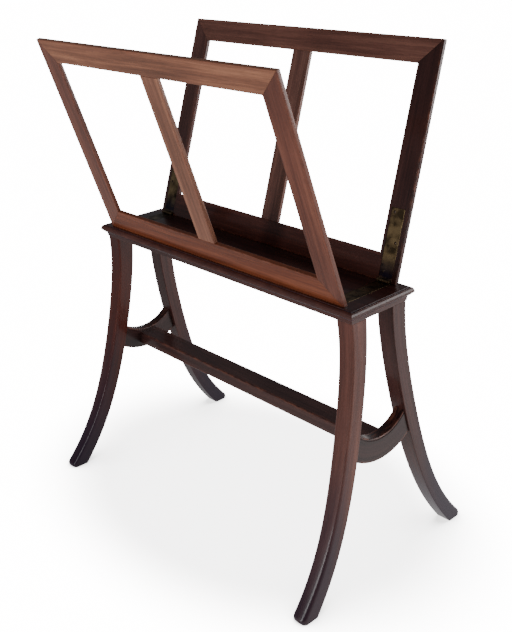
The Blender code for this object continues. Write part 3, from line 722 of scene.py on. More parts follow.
def make_member(name, side, low, high, along_x, corners):
    """Build one board of a frame from its rectangle, mitred at the corners."""
    size = sizes("frames")
    run, across = (0, 1) if along_x else (1, 0)
    outline = section((low[across], 0), (high[across], size.thick), [size.arris] * 4)
    past = OVERRUN if corners else 0.0
    rings = []
    for place in np.linspace(low[run] - past, high[run] + past, 9 if along_x else 7):
        rings.append([(place, v, d) if along_x else (v, place, d) for v, d in outline])
    bm = bmesh.new()
    add_loft(bm, rings)
    for corner_x, corner_y in corners:
        outer, rail_side = mitre(corner_x, corner_y)
        keep = rail_side if along_x else -rail_side
        trim(bm, outer + keep * GAP / 2, -keep)
    at_foot = any(corner_y < 0 for _, corner_y in corners)
    if at_foot:
        trim(bm, Vector((0, 0, 0)), Vector((0, -math.cos(size.lean), math.sin(size.lean))))
    obj = close(name, bm)
    if at_foot:
        beds = bmesh.new()
        add_leaf_beds(beds)
        combine(obj, beds, "DIFFERENCE")
    # Each board is sawn from its own place in the grain
    offset = sum(ord(letter) for letter in name) * GRAIN_STEP

    def where(point):
        worn = rubbed(point[across], point.z, (low[across], 0), (high[across], size.thick))
        return (point[run] + offset, point[across] + offset * GRAIN_DRIFT, point.z), worn

    paint(obj, where)
    matrix = frame_matrix(side)
    obj.data.transform(matrix)
    if matrix.determinant() < 0:
        obj.data.flip_normals()
    body = name.rsplit("_frame", 1)[0] + "_frame"
    present(obj, polished_mahogany(name), body, [name])


def x_rod(x, y, z):
    """Return the place of a rod whose local z runs along world x."""
    return Matrix.Translation((x, y, z)) @ Matrix.Rotation(math.pi / 2, 4, "Y")


# Platform

# The small round at the top edge, and how far out the step and the rounded part below it start
TOP_ROUND = 0.0004
STEP_OUT = 0.0005
THUMB_OUT = 0.0012
# Rubbing along the top edge and on the nose, and the painted shade in the quirk with its reach
TOP_EDGE_WEAR = 0.7
NOSE_WEAR = 0.15
QUIRK_SHADE = 0.9
QUIRK_REACH = 0.0016
# Rounding of the moulding's and the bearers' hidden edges, and of the moulding's lower front edge
HIDDEN_ARRIS = 0.0004
BAND_ARRIS = 0.0008
BEARER_ARRIS = 0.0003
# Rubbing on the moulding's edges, as a share of that on the frames
BAND_WEAR = 0.6


def edge_profile():
    """Return the platform's moulded edge as (out, z), from the underside to the top."""
    size = sizes("platform")
    nose_low = size.fillet + size.thumb + size.nose_drop
    points = [(size.nose - size.undercut, size.thick), (size.nose, nose_low)]
    for along, up in arc((0, 0), 1.0, 0.0, 16):
        points.append((THUMB_OUT + (size.nose - THUMB_OUT) * along, size.fillet + size.thumb * (1 - up)))
    points.append((STEP_OUT, size.fillet))
    points += arc((0, TOP_ROUND), TOP_ROUND, 0.0, 4, -math.pi / 2)
    points.append((-SUPPORT, 0.0))
    return [(out, size.top - drop) for out, drop in points]


def make_board():
    """Build the platform board with its moulded edge and the beds of its leaves."""
    size = sizes("platform")
    rings = []
    for out, z in edge_profile():
        x = size.half_x + out
        y = size.half_y + out
        rings.append([(-x, -y, z), (x, -y, z), (x, y, z), (-x, y, z)])
    obj = lofted("platform_board", rings)
    cuts = bmesh.new()
    reach = sizes("frames").foot - hinge_setback() + GAP
    bed = size.top - sizes("hinges").thick - GAP
    for _, end in ENDS:
        low, high = leaf_span(end, GAP)
        add_box(cuts, (low, -reach, bed), (high, reach, size.top + 2 * OVERRUN))
    combine(obj, cuts, "DIFFERENCE")

    def stand_out(point):
        return max(abs(point.x) - size.half_x, abs(point.y) - size.half_y)

    def where(point):
        out = stand_out(point)
        worn = NOSE_WEAR if out > 0.003 else 0.0
        if out > TOP_ROUND / 2 and abs(point.z - size.top) < 0.001:
            worn = TOP_EDGE_WEAR
        return point, worn

    # Painted shade darkens the quirk below the step and the crease where the underside meets the
    # moulding
    def shade_and_wax(point):
        out = stand_out(point)
        quirk = abs(point.z - (size.top - size.fillet)) + abs(out - (STEP_OUT + 0.0001))
        foot = abs(point.z - (size.top - size.thick)) + abs(out - size.nose + size.undercut)
        return QUIRK_SHADE * max(0.0, 1 - min(quirk, foot) / QUIRK_REACH)

    polish(obj, "platform_board", where, shade_and_wax)


def make_band(name, axis, direction):
    """Build one mitred strip of the moulding planted below the board."""
    size = sizes("platform")
    outer, reach = (size.band_x, size.band_y) if axis == 0 else (size.band_y, size.band_x)
    low = size.top - size.thick - size.band
    high = size.top - size.thick - GAP
    radii = [HIDDEN_ARRIS, BAND_ARRIS, HIDDEN_ARRIS, HIDDEN_ARRIS]
    outline = section((outer - size.band, low), (outer, high), radii, 4, 0.002)
    rings = []
    for share in np.linspace(-1, 1, 9):
        ring = []
        for out, z in outline:
            if out > outer - size.band / 2:
                out -= size.splay * (high - z) / size.band
            along = share * (reach - (outer - out) - GAP / 2)
            ring.append((direction * out, along, z) if axis == 0 else (along, direction * out, z))
        rings.append(ring)
    obj = lofted(name, rings)

    def where(point):
        along, out = point[1 - axis], point[axis]
        worn = rubbed(abs(out), point.z, (outer - size.band, low), (outer, high), 0.002)
        return (along + 3.1 * direction, out, point.z), worn * BAND_WEAR

    polish(obj, name, where)


def make_bearer(name, end):
    """Build the cross bearer below the board that takes the leg tenons."""
    low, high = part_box(name)
    outline = section((low.x, low.z), (high.x, high.z), [BEARER_ARRIS] * 4, 2, 0.002)
    obj = lofted(name, [[(x, y, z) for x, z in outline] for y in np.linspace(low.y, high.y, 5)])
    polish(obj, name, lambda point: ((point.y + 2.0 * end, point.x, point.z), 0.0))


# Legs and stretchers

# Distance below the platform, spread of the outer edge, depth and width of the leg
LEG_STATIONS = (
    (0.0000, 0.0000, 0.0425, 0.0420),
    (0.1433, 0.0066, 0.0374, 0.0404),
    (0.2633, 0.0302, 0.0366, 0.0396),
    (0.3733, 0.0611, 0.0366, 0.0378),
    (0.4733, 0.1046, 0.0386, 0.0356),
    (0.5733, 0.1785, 0.0467, 0.0345),
)
# How far the toe's rounding turns in below its foremost point
TOE_TURN = math.radians(45)
# Height that the toe's close rings cover as a multiple of its rounding, and the counts of rings
TOE_HEIGHT = 1.6
TOE_RINGS = 12
LEG_RINGS = 72
# Height below which the feet are darkened with painted shade, how much at the floor, and how much
# higher the painted shade starts in front
FOOT_SHADE_HEIGHT = 0.26
FOOT_SHADE = 0.75
FRONT_SHADE_REACH = 1.6
# Rubbing on the legs' edges, as a share of that on the frames
LEG_WEAR = 0.12
# Rounding of a hoop's plain edges, and how far its arc runs to each side before the legs cut it
HOOP_ARRIS = 0.0015
HOOP_SWEEP = math.radians(62)
HOOP_RINGS = 73
# The shares of the leg's height between which the hoop's shoulders are cut
SHOULDER_LOW = 0.35
SHOULDER_HIGH = 0.85


def leg_top():
    """Return the height of the legs' shoulders."""
    size = sizes("platform")
    return size.top - size.thick - size.band - GAP


def leg_curve(column, z):
    """Return one column of the leg stations as a smooth curve, at a height."""
    drops = [station[0] for station in LEG_STATIONS]
    values = [station[column] for station in LEG_STATIONS]
    return float(np.polyval(np.polyfit(drops, values, 4), leg_top() - z))


def leg_edges(z):
    """Return the outer and inner edge of a leg at a height, from the middle plane."""
    size = sizes("legs")
    outer = size.top_y + leg_curve(1, z)
    inner = outer - leg_curve(2, z)
    slope = math.atan((leg_curve(1, 0) - leg_curve(1, size.toe)) / size.toe)
    start = size.toe * (math.sin(slope) + math.sin(TOE_TURN))
    if z < start:
        turn = math.asin((start - z) / size.toe - math.sin(slope))
        outer = size.top_y + leg_curve(1, start) + size.toe * (math.cos(turn) - math.cos(slope))
    return outer, inner


def leg_span(end, z):
    """Return the low and high face of a leg along the stand at a height, before its cant."""
    outer = sizes("legs").outer_x
    return sorted((end * outer, end * (outer - leg_curve(3, z))))


def cant_shift(z, end):
    """Return how far an end assembly stands out along the stand at a height."""
    return end * sizes("legs").cant * max(0.0, 1 - z / leg_top())


def make_leg(name, end, side):
    """Build one square sabre leg with its rounded arrises and toe."""
    size = sizes("legs")
    toe_top = TOE_HEIGHT * size.toe
    toe = [toe_top * (1 - math.cos(step / TOE_RINGS * math.pi / 2)) for step in range(TOE_RINGS)]
    rings = []
    for z in toe + list(np.linspace(toe_top, leg_top(), LEG_RINGS)):
        outer, inner = leg_edges(z)
        low_x, high_x = leg_span(end, z)
        foot = 1 - z / leg_top()
        radii = [size.inner_arris] * 2 + [size.outer_arris * (1 + foot * foot)] * 2
        outline = section((low_x, inner), (high_x, outer), radii, 6)
        # The outer face lies between the supports of its two corners
        middle = len(outline) - len(outline) // 4
        before, after = outline[middle - 1], outline[middle]
        outline[middle:middle] = [(x, outer) for x in np.linspace(before[0], after[0], 8)[1:-1]]
        ring = []
        for x, out in outline:
            if out > (inner + outer) / 2:
                share = (2 * x - low_x - high_x) / (high_x - low_x)
                out += size.crown * foot ** 2 * (0.5 - share ** 2)
            ring.append((x + cant_shift(z, end), side * out, z))
        rings.append(ring)
    obj = lofted(name, rings)
    offset = 5.0 + 1.7 * end + 0.9 * side

    def where(point):
        outer, inner = leg_edges(point.z)
        low_x, high_x = leg_span(end, point.z)
        x = point.x - cant_shift(point.z, end)
        out = side * point.y
        worn = rubbed(x, out, (low_x, inner), (high_x, outer), 0.005)
        return (point.z + offset, out - (outer + inner) / 2, x), worn * LEG_WEAR

    # Painted shade darkens the lower leg towards the floor, starting higher on the outer half
    def shade_and_wax(point):
        outer, inner = leg_edges(point.z)
        front = side * point.y > (outer + inner) / 2
        reach = FRONT_SHADE_REACH * FOOT_SHADE_HEIGHT if front else FOOT_SHADE_HEIGHT
        share = min(1.0, max(0.0, 1 - point.z / reach))
        return FOOT_SHADE * share * share * (3 - 2 * share)

    polish(obj, name, where, shade_and_wax)


def hoop_outline():
    """Return a hoop's section as (x from its inner face, radius), with bead and quirk."""
    size = sizes("legs")
    low, high = size.hoop_radius, size.hoop_radius + size.hoop_depth
    thick, bead, round_off = size.hoop_thick, size.bead / 2, HOOP_ARRIS
    groove = low + size.bead + size.quirk / 2
    points = arc((round_off, low + round_off), round_off, math.pi, 6)
    points += arc((thick - bead, low + bead), bead, 1.5 * math.pi, 12, math.pi)[:-1]
    points += [
        (thick - size.quirk, low + size.bead - size.quirk / 4),
        (thick - size.quirk, groove),
        (thick, groove + size.quirk / 4),
        (thick, groove + SUPPORT),
        (thick, high - round_off - SUPPORT),
    ]
    for x, start in ((thick - round_off, 0.0), (round_off, math.pi / 2)):
        points += arc((x, high - round_off), round_off, start, 5)
    points += [(0.0, high - round_off - SUPPORT), (0.0, low + round_off + SUPPORT)]
    return points


def make_hoop(name, end):
    """Build the hooped cross stretcher of one end, shouldered against the legs."""
    size = sizes("legs")
    inner_x = size.outer_x - size.hoop_recess - size.hoop_thick
    rings = []
    for angle in np.linspace(-HOOP_SWEEP, HOOP_SWEEP, HOOP_RINGS):
        ring = []
        for x, radius in hoop_outline():
            y, drop = radius * math.sin(angle), radius * math.cos(angle)
            ring.append((end * (inner_x + x), y, size.hoop_z - drop))
        rings.append(ring)
    obj = lofted(name, rings)
    low, high = sorted((end * (inner_x - 0.01), end * (size.outer_x + 0.01)))
    for _, side in SIDES:
        # The shoulder follows the leg's curved inner edge
        far = side * 0.3
        shoulder = []
        for z in np.linspace(leg_top() * SHOULDER_LOW, leg_top() * SHOULDER_HIGH, 40):
            near = side * (leg_edges(z)[1] - GAP)
            shoulder.append([(low, near, z), (high, near, z), (high, far, z), (low, far, z)])
        cuts = bmesh.new()
        add_loft(cuts, shoulder)
        combine(obj, cuts, "DIFFERENCE")

    def where(point):
        drop = size.hoop_z - point.z
        radius = math.hypot(point.y, drop)
        out = abs(point.x) - inner_x
        edges = (0.0, size.hoop_radius), (size.hoop_thick, size.hoop_radius + size.hoop_depth)
        along = math.atan2(point.y, drop) * size.hoop_radius + 7.0 * end
        return (along, radius, out), rubbed(out, radius, *edges, 0.005)

    paint(obj, where)
    for vertex in obj.data.vertices:
        vertex.co.x += cant_shift(vertex.co.z, end)
    present(obj, polished_mahogany(name), "base", [name])


def make_stretcher():
    """Build the long flat stretcher between the hoops."""
    size = sizes("legs")
    low = (-size.stretcher_depth / 2, size.stretcher_top - size.stretcher_thick)
    high = (size.stretcher_depth / 2, size.stretcher_top)
    outline = section(low, high, [size.stretcher_arris] * 4, 6)
    reach = size.outer_x - size.hoop_recess - size.hoop_thick - GAP
    rings = []
    for share in np.linspace(-1, 1, 17):
        rings.append([(share * (reach + cant_shift(z, 1)), y, z) for y, z in outline])
    obj = lofted("long_stretcher", rings)

    def where(point):
        return (point.x + 11.0, point.y, point.z), rubbed(point.y, point.z, low, high)

    polish(obj, "long_stretcher", where)


# Hinges

# Sides of the turned bodies
KNUCKLE_SIDES = 32
PIN_SIDES = 24
SCREW_SIDES = 28
# How far up its knuckle a web reaches, as a share of the radius
WEB_REACH = 0.9
# How far from a leaf's arris the next line lies
LEAF_SUPPORT = 0.0015
# The first line across a stile leaf that carries the painting, and the space between the lines
FIRST_LINE = 0.0123
LINE_SPACE = 0.006
# Places of the outermost screws: above a stile leaf's setback, below its end, from the hinge
STILE_SCREW_UP = 0.0185
STILE_SCREW_DOWN = 0.009
TABLE_SCREW_IN = 0.0175
# A countersink's throat as a share of its mouth, and its depth
SINK_THROAT = 0.55
SINK_DEPTH = 0.0015
# Rubbing and a painted highlight on a leaf's outer rim with its width, rubbing on the knuckles and on
# the pins
RIM_WEAR_AND_HIGHLIGHT = 0.8
RIM_WIDTH = 0.0012
KNUCKLE_WEAR = 0.55
PIN_WEAR = 0.7
# Painted shade on a stile leaf: how much at its foot, how far it is full and over what height it fades,
# and how much on the parts below
LEAF_SHADE = 0.93
LEAF_SHADE_FULL = 0.014
LEAF_SHADE_FADE = 0.034
LOW_SHADE = 0.3
# How far a pin's domed ends stand proud
PIN_PROUD = 0.0004
# A screw's slot, half its width and its depth, and the rubbing and the darkening of its head
SLOT_HALF = 0.00035
SLOT_DEPTH = 0.0008
HEAD_WEAR = 0.2
HEAD_DARKENING = 0.7


def hinge_axis(side):
    """Return the distance from the middle and the height of a hinge's axis."""
    y = side * (sizes("frames").foot - hinge_setback())
    return y, sizes("platform").top + GAP + sizes("hinges").knuckle + GAP


def knuckle_slabs(end, middle_leaf):
    """Return the x ranges of a leaf's knuckles, which alternate along the joint."""
    hinge = sizes("hinges")
    width = (hinge.width - (hinge.knuckles - 1) * hinge.play) / hinge.knuckles
    start = leaf_span(end)[0]
    slabs = []
    for i in range(0 if middle_leaf else 1, hinge.knuckles, 2):
        low = start + i * (width + hinge.play)
        slabs.append((low, low + width))
    return slabs


def add_knuckles(obj, slabs, joints):
    """Join rolled knuckles and their webs to a leaf, then bore them for the pin."""
    hinge = sizes("hinges")
    radius, arris = hinge.knuckle, hinge.arris
    bores = bmesh.new()
    for joint in joints:
        y, z = joint.translation.yz
        rods = bmesh.new()
        webs = bmesh.new()
        for low, high in slabs:
            run = high - low
            radii = (radius - arris, radius, radius, radius - arris)
            add_rod(rods, x_rod(low, y, z), radii, (0, arris, run - arris, run), KNUCKLE_SIDES)
            foot = -radius - GAP - hinge.thick / 2
            add_box(webs, (low, 0, foot), (high, radius * WEB_REACH, 0), joint)
            bore = x_rod(low - OVERRUN, y, z)
            add_rod(bores, bore, (hinge.pin + GAP,) * 2, (0, run + 2 * OVERRUN), PIN_SIDES)
        combine(obj, rods, "UNION")
        combine(obj, webs, "UNION")
    combine(obj, bores, "DIFFERENCE")


def add_countersinks(bm, matrices):
    """Add the countersunk holes that take the screws in a leaf."""
    hinge = sizes("hinges")
    throat = hinge.head * SINK_THROAT
    radii = (hinge.head + GAP + OVERRUN, hinge.head + GAP, throat, throat)
    heights = (OVERRUN, 0.0, -SINK_DEPTH, -hinge.thick - OVERRUN)
    for matrix in matrices:
        add_rod(bm, matrix, radii, heights, SCREW_SIDES)


def paint_leaf(obj, axes_y, end):
    """Paint the bright rim of a leaf, rubbed and with a painted highlight, its rubbed knuckles, and the
    painted shade at its foot and below.
    """
    hinge = sizes("hinges")
    low, high = leaf_span(end)
    axis_z = hinge_axis(1)[1]

    def where(point):
        rim = high - point.x if end > 0 else point.x - low
        barrel = min(math.hypot(point.y - y, point.z - axis_z) for y in axes_y)
        worn = KNUCKLE_WEAR if barrel < hinge.knuckle * 1.1 else 0.0
        # The outer rim is painted bright as a highlight as well as rubbed
        worn = min(1.0, max(worn, RIM_WEAR_AND_HIGHLIGHT - rim / RIM_WIDTH))
        return point, worn

    # Painted shade darkens a stile leaf at its foot deep between the frames, and the knuckles and the
    # platform leaf below
    def shade_and_wax(point):
        up = point.z - axis_z
        if up <= hinge.knuckle:
            return LOW_SHADE
        return LEAF_SHADE * min(1.0, max(0.0, 1 - (up - LEAF_SHADE_FULL) / LEAF_SHADE_FADE))

    paint(obj, where, shade_and_wax)


def screw_x(end, i):
    """Return the place along the stand of a leaf's screw, which alternate from side to side."""
    hinge = sizes("hinges")
    return end * (hinge.centre + (hinge.stagger if i % 2 else -hinge.stagger))


def stile_screws(side, end):
    """Return the places of the screws in a stile leaf, local z out of the wood."""
    matrices = []
    low = hinge_setback() + STILE_SCREW_UP
    for i, up in enumerate(np.linspace(low, sizes("hinges").reach - STILE_SCREW_DOWN, 3)):
        local = Matrix.Translation((screw_x(end, i), up, 0)) @ Matrix.Rotation(math.pi, 4, "X")
        matrices.append(frame_matrix(side) @ local)
    return matrices


def table_screws(end):
    """Return the places of the screws in a platform leaf."""
    reach = hinge_axis(1)[0] - TABLE_SCREW_IN
    matrices = []
    for i, y in enumerate(np.linspace(-reach, reach, 4)):
        matrices.append(Matrix.Translation((screw_x(end, i), y, sizes("platform").top)))
    return matrices


def make_stile_leaf(name, side, end):
    """Build the brass leaf let into the foot of a stile, with its knuckles."""
    hinge = sizes("hinges")
    place = frame_matrix(side)
    low, high = leaf_span(end)
    radii = [hinge.arris] * 2 + [GAP / 2] * 2
    outline = section((low, 0), (high, hinge.thick), radii, 4, LEAF_SUPPORT)
    rings = []
    for up in (hinge_setback(), hinge.reach - hinge.arris, hinge.reach):
        face = hinge.arris if up == hinge.reach else 0
        rings.append([place @ Vector((x, up, max(z, face))) for x, z in outline])
    obj = lofted(name, rings)
    y, z = hinge_axis(side)
    slope, outward = place.col[1].to_3d(), place.col[2].to_3d()
    joint = placed((0, y, z), (1, 0, 0), slope, -outward)
    add_knuckles(obj, knuckle_slabs(end, False), [joint])
    holes = bmesh.new()
    add_countersinks(holes, stile_screws(side, end))
    combine(obj, holes, "DIFFERENCE")
    lines = [place @ Vector((0, up, 0)) for up in np.arange(FIRST_LINE, hinge.reach, LINE_SPACE)]
    clean_cuts(obj, lines, slope)
    paint_leaf(obj, [y], end)
    present(obj, aged_brass(), name.rsplit("_frame", 1)[0] + "_frame", [name])


def make_table_leaf(name, end):
    """Build the brass leaf let into the platform between the two frames."""
    hinge = sizes("hinges")
    top = sizes("platform").top
    low, high = leaf_span(end)
    reach, axis_z = hinge_axis(1)
    radii = [GAP / 2] * 2 + [hinge.arris] * 2
    outline = section((low, top - hinge.thick), (high, top), radii, 4, LEAF_SUPPORT)
    obj = lofted(name, [[(x, y, z) for x, z in outline] for y in (-reach, reach)])
    joints = []
    for _, side in SIDES:
        joints.append(placed((0, side * reach, axis_z), (1, 0, 0), (0, -side, 0), (0, 0, 1)))
    add_knuckles(obj, knuckle_slabs(end, True), joints)
    holes = bmesh.new()
    add_countersinks(holes, table_screws(end))
    combine(obj, holes, "DIFFERENCE")
    clean_cuts(obj, [], (0, 1, 0))
    paint_leaf(obj, [-reach, reach], end)
    present(obj, aged_brass(), "base", [name])


def make_pin(name, side, end):
    """Build one hinge pin with its domed ends."""
    hinge = sizes("hinges")
    y, z = hinge_axis(side)
    dome = [hinge.pin * share for share in (0.6, 0.9, 1.0)]
    run = hinge.width + 2 * PIN_PROUD
    rise = (0, PIN_PROUD * 0.4, PIN_PROUD)
    heights = [*rise, *(run - height for height in reversed(rise))]
    bm = bmesh.new()
    place = x_rod(leaf_span(end)[0] - PIN_PROUD, y, z)
    add_rod(bm, place, dome + dome[::-1], heights, PIN_SIDES)
    obj = close(name, bm)
    paint(obj, lambda point: (point, PIN_WEAR))
    present(obj, aged_brass(), "base", [name])


def make_screw_pattern():
    """Build the one slotted countersunk screw that the leaves repeat."""
    head = sizes("hinges").head
    # The head's rounded rim, its cone, the shank and the blunt point
    radii = (head * 0.93, head, head * 0.47, head * 0.47, head * 0.30)
    heights = (-0.00008, -0.00022, -0.0016, -0.0070, -0.0080)
    bm = bmesh.new()
    add_rod(bm, Matrix.Identity(4), radii, heights, SCREW_SIDES)
    obj = close("screw_pattern", bm)
    slot = bmesh.new()
    reach = head + OVERRUN
    add_box(slot, (-reach, -SLOT_HALF, -SLOT_DEPTH), (reach, SLOT_HALF, OVERRUN))
    combine(obj, slot, "DIFFERENCE")

    def where(point):
        return point, HEAD_WEAR if point.z > -SLOT_DEPTH / 2 else 0.0

    # The whole screw is darkened with the dark colour
    paint(obj, where, lambda point: HEAD_DARKENING)
    obj.data.shade_smooth()
    obj.data.set_sharp_from_angle(angle=CRISP_ANGLE)
    return obj


def screw_tree():
    """Build the node tree that sets a screw on each point, turned by its own angle."""
    tree = bpy.data.node_groups.new("Countersunk screws", "GeometryNodeTree")
    inputs = {"Places": "Geometry", "Screw": "Object", "Size": "Float", "Finish": "Material"}
    for name, kind in inputs.items():
        tree.interface.new_socket(name, in_out="INPUT", socket_type="NodeSocket" + kind)
    tree.interface.items_tree["Size"].default_value = 1.0
    tree.interface.new_socket("Screws", in_out="OUTPUT", socket_type="NodeSocketGeometry")
    start = tree.nodes.new("NodeGroupInput")
    axis = add_node(tree, "GeometryNodeInputNamedAttribute", {"Name": "axis"}, data_type="FLOAT_VECTOR")
    turn = add_node(tree, "GeometryNodeInputNamedAttribute", {"Name": "turn"}, data_type="FLOAT")
    align = add_node(tree, "FunctionNodeAlignRotationToVector", {"Vector": axis}, axis="Z")
    spin = add_node(tree, "FunctionNodeAxisAngleToRotation", {"Axis": (0, 0, 1), "Angle": turn})
    rotate = add_node(tree, "FunctionNodeRotateRotation", {
        "Rotation": align,
        "Rotate By": spin,
    }, rotation_space="LOCAL")
    pattern = add_node(tree, "GeometryNodeObjectInfo", {"Object": start.outputs["Screw"]})
    place = add_node(tree, "GeometryNodeInstanceOnPoints", {
        "Points": start.outputs["Places"],
        "Instance": pattern.outputs["Geometry"],
        "Rotation": rotate,
        "Scale": start.outputs["Size"],
    })
    real = add_node(tree, "GeometryNodeRealizeInstances", {"Geometry": place})
    finish = add_node(tree, "GeometryNodeSetMaterial", {
        "Geometry": real,
        "Material": start.outputs["Finish"],
    })
    add_node(tree, "NodeGroupOutput", {"Screws": finish})
    return tree


def make_screws(name, body, matrices, nodes, tree, pattern):
    """Set the screws of one body with the node tree and keep them as a plain mesh."""
    mesh = bpy.data.meshes.new(name)
    mesh.from_pydata([matrix.translation for matrix in matrices], [], [])
    axis = mesh.attributes.new("axis", "FLOAT_VECTOR", "POINT")
    axis.data.foreach_set("vector", [value for matrix in matrices for value in matrix.col[2][:3]])
    turn = mesh.attributes.new("turn", "FLOAT", "POINT")
    turn.data.foreach_set("value", [0.7 + 1.9 * i for i in range(len(matrices))])
    obj = add_object(name, mesh)
    modifier = obj.modifiers.new("Screws", "NODES")
    modifier.node_group = tree
    values = {"Screw": pattern, "Size": 1.0, "Finish": aged_brass()}
    for socket in tree.interface.items_tree:
        if socket.in_out == "INPUT" and socket.name in values:
            modifier[socket.identifier] = values[socket.name]
    bake_modifiers(obj)
    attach(obj, body)
    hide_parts(*nodes)


# Stage


def make_floor():
    """Build the pale floor on which the stand rests."""
    bm = bmesh.new()
    bmesh.ops.create_grid(bm, x_segments=8, y_segments=8, size=14.0)
    mesh = bpy.data.meshes.new("floor")
    bm.to_mesh(mesh)
    bm.free()
    mesh.materials.append(studio_paper())
    add_object("floor", mesh)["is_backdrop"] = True


def make_world():
    """Light the room softly from its low white walls and leave the ceiling dark."""
    world = bpy.data.worlds.new("studio")
    bpy.context.scene.world = world
    world.use_nodes = True
    tree = world.node_tree
    tree.nodes.clear()
    direction = add_node(tree, "ShaderNodeTexCoord").outputs["Generated"]
    split = add_node(tree, "ShaderNodeSeparateXYZ", {"Vector": direction})
    level = add_node(tree, "ShaderNodeMapRange", {
        "Value": split.outputs["Z"],
        "From Min": 0.15,
        "From Max": 0.5,
        "To Min": ROOM_LOW,
        "To Max": ROOM_HIGH,
    })
    path = add_node(tree, "ShaderNodeLightPath")
    seen = add_node(tree, "ShaderNodeMix", {"Factor": path, "A": level, "B": ROOM_SEEN})
    light = add_node(tree, "ShaderNodeBackground", {"Color": (0.90, 0.94, 1.0, 1.0), "Strength": seen})
    add_node(tree, "ShaderNodeOutputWorld", {"Surface": light})


def make_light(name, place, size, power, mirrored=True):
    """Hang one square soft light that faces the stand, and may show in the polish."""
    data = bpy.data.lights.new(name, "AREA")
    data.shape = "RECTANGLE"
    data.size, data.size_y = size
    data.energy = power
    obj = add_object(name, data)
    obj.location = place
    obj.rotation_euler = (Vector(LIT_POINT) - Vector(place)).to_track_quat("-Z", "Y").to_euler()
    obj.visible_camera = False
    obj.visible_glossy = mirrored


def make_camera():
    """Set the camera at the photograph's place, with its lens and a small shift."""
    yaw, pitch, roll = CAMERA_TURN
    level = math.cos(pitch)
    forward = Vector((-math.sin(yaw) * level, math.cos(yaw) * level, math.sin(pitch)))
    right = Vector((math.cos(yaw), math.sin(yaw), 0))
    up = right.cross(forward)
    tilted_right = math.cos(roll) * right + math.sin(roll) * up
    tilted_up = math.cos(roll) * up - math.sin(roll) * right
    width, height = IMAGE
    data = bpy.data.cameras.new("camera")
    data.sensor_width = 36
    data.lens = FOCAL / height * data.sensor_width
    data.shift_x = (width / 2 - MIDDLE[0]) / height
    data.shift_y = (MIDDLE[1] - height / 2) / height
    obj = add_object("camera", data)
    obj.matrix_world = placed(CAMERA_PLACE, tilted_right, tilted_up, -forward)
    bpy.context.scene.camera = obj


# Operators


class FOLIO_OT_platform(bpy.types.Operator):
    """Build the platform board, its planted moulding and the bearers below it"""

    bl_idname = "folio.platform"
    bl_label = "Platform"

    def execute(self, context):
        make_board()
        for axis, pair in ((1, SIDES), (0, ENDS)):
            for word, direction in pair:
                make_band(word + "_moulding", axis, direction)
        for word, end in ENDS:
            make_bearer(word + "_bearer", end)
        return {"FINISHED"}


class FOLIO_OT_legs(bpy.types.Operator):
    """Build the four sabre legs"""

    bl_idname = "folio.legs"
    bl_label = "Legs"

    def execute(self, context):
        for end_word, end in ENDS:
            for side_word, side in SIDES:
                make_leg(f"{side_word}_{end_word}_leg", end, side)
        return {"FINISHED"}


class FOLIO_OT_stretchers(bpy.types.Operator):
    """Build the two hooped cross stretchers and the long one between them"""

    bl_idname = "folio.stretchers"
    bl_label = "Stretchers"

    def execute(self, context):
        for word, end in ENDS:
            make_hoop(word + "_hoop", end)
        make_stretcher()
        return {"FINISHED"}


class FOLIO_OT_frames(bpy.types.Operator):
    """Build the mitred boards of the two open frames"""

    bl_idname = "folio.frames"
    bl_label = "Frames"

    def execute(self, context):
        size = sizes("frames")
        half, middle, height = size.length / 2, size.muntin / 2, size.height
        low, high = size.bottom_rail, height - size.top_rail
        for word, side in SIDES:
            name = word + "_frame_"
            rails = (("top_rail", high, height, 1), ("bottom_rail", 0, low, -1))
            for rail, foot, head, edge in rails:
                corners = ((-1, edge), (1, edge))
                make_member(name + rail, side, (-half, foot), (half, head), True, corners)
            for end_word, end in ENDS:
                left, right = sorted((end * (half - size.stile), end * half))
                stile = f"{name}{end_word}_stile"
                corners = ((end, -1), (end, 1))
                make_member(stile, side, (left, 0), (right, height), False, corners)
            make_member(name + "muntin", side, (-middle, low + GAP), (middle, high - GAP), False, ())
        return {"FINISHED"}


class FOLIO_OT_hinges(bpy.types.Operator):
    """Build the brass leaves and the pins of the hinges"""

    bl_idname = "folio.hinges"
    bl_label = "Hinges"

    def execute(self, context):
        for end_word, end in ENDS:
            make_table_leaf(end_word + "_platform_leaf", end)
            for side_word, side in SIDES:
                make_stile_leaf(f"{side_word}_frame_{end_word}_leaf", side, end)
                make_pin(f"{side_word}_{end_word}_pin", side, end)
        return {"FINISHED"}


class FOLIO_OT_screws(bpy.types.Operator):
    """Set the slotted brass screws of every leaf"""

    bl_idname = "folio.screws"
    bl_label = "Screws"

    def execute(self, context):
        tree = screw_tree()
        pattern = make_screw_pattern()
        matrices = []
        nodes = []
        for word, end in ENDS:
            matrices += table_screws(end)
            nodes += [f"{word}_platform_screw_{i + 1}" for i in range(4)]
        make_screws("platform_screws", "base", matrices, nodes, tree, pattern)
        for side_word, side in SIDES:
            matrices = []
            nodes = []
            for end_word, end in ENDS:
                matrices += stile_screws(side, end)
                nodes += [f"{side_word}_frame_{end_word}_screw_{i + 1}" for i in range(3)]
            body = side_word + "_frame"
            make_screws(body + "_screws", body, matrices, nodes, tree, pattern)
        bpy.data.objects.remove(pattern)
        return {"FINISHED"}


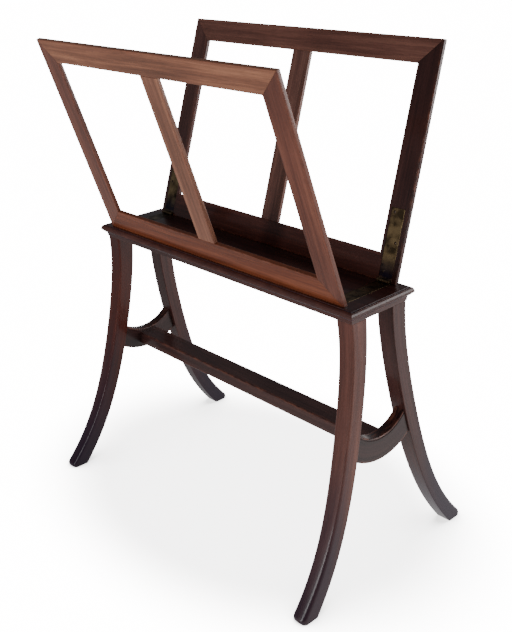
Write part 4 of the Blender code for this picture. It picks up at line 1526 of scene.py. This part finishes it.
class FOLIO_OT_stage(bpy.types.Operator):
    """Set the pale floor, the soft studio light and the camera"""

    bl_idname = "folio.stage"
    bl_label = "Stage"

    def execute(self, context):
        make_floor()
        make_world()
        make_light("front_softbox", (-1.0, -2.8, 0.7), (1.6, 1.2), 12, mirrored=False)
        make_light("front_strip", (-0.3, -2.9, 1.1), (0.45, 1.7), 22)
        make_light("right_softbox", (2.1, 1.9, 1.1), (1.2, 1.4), 27)
        make_light("back_strip", (0.1, 2.2, 2.6), (1.6, 0.5), 12)
        make_camera()
        return {"FINISHED"}


class FOLIO_PT_panel(bpy.types.Panel):
    """List the steps that build the folio stand"""

    bl_idname = "FOLIO_PT_panel"
    bl_label = "Folio Stand"
    bl_space_type = "VIEW_3D"
    bl_region_type = "UI"
    bl_category = "Folio Stand"

    def draw(self, context):
        for group in GROUPS:
            settings = sizes(group)
            for name in settings.__annotations__:
                self.layout.prop(settings, name)
        for step in STEPS:
            self.layout.operator(step.bl_idname)


GROUPS = {
    "frames": FolioFrameSizes,
    "platform": FolioPlatformSizes,
    "legs": FolioLegSizes,
    "hinges": FolioHingeSizes,
    "finish": FolioFinish,
}
STEPS = (
    FOLIO_OT_platform,
    FOLIO_OT_legs,
    FOLIO_OT_stretchers,
    FOLIO_OT_frames,
    FOLIO_OT_hinges,
    FOLIO_OT_screws,
    FOLIO_OT_stage,
)


def register():
    """Register the classes and hang the sizes on the scene."""
    for group in GROUPS.values():
        bpy.utils.register_class(group)
    for step in STEPS + (FOLIO_PT_panel,):
        bpy.utils.register_class(step)
    for name, group in GROUPS.items():
        setattr(bpy.types.Scene, "folio_" + name, PointerProperty(type=group))


def unregister():
    """Take the classes and the sizes away again."""
    for name in GROUPS:
        delattr(bpy.types.Scene, "folio_" + name)
    for step in reversed(STEPS + (FOLIO_PT_panel,)):
        bpy.utils.unregister_class(step)
    for group in reversed(list(GROUPS.values())):
        bpy.utils.unregister_class(group)


def main():
    """Build every piece and the stage."""
    register()
    bpy.ops.folio.platform()
    bpy.ops.folio.legs()
    bpy.ops.folio.stretchers()
    bpy.ops.folio.frames()
    bpy.ops.folio.hinges()
    bpy.ops.folio.screws()
    bpy.ops.folio.stage()
    for name, box in (("cad", CAD_BOX), ("visual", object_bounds())):
        [list(corner) for corner in box]


if __name__ == "__main__":
    main()
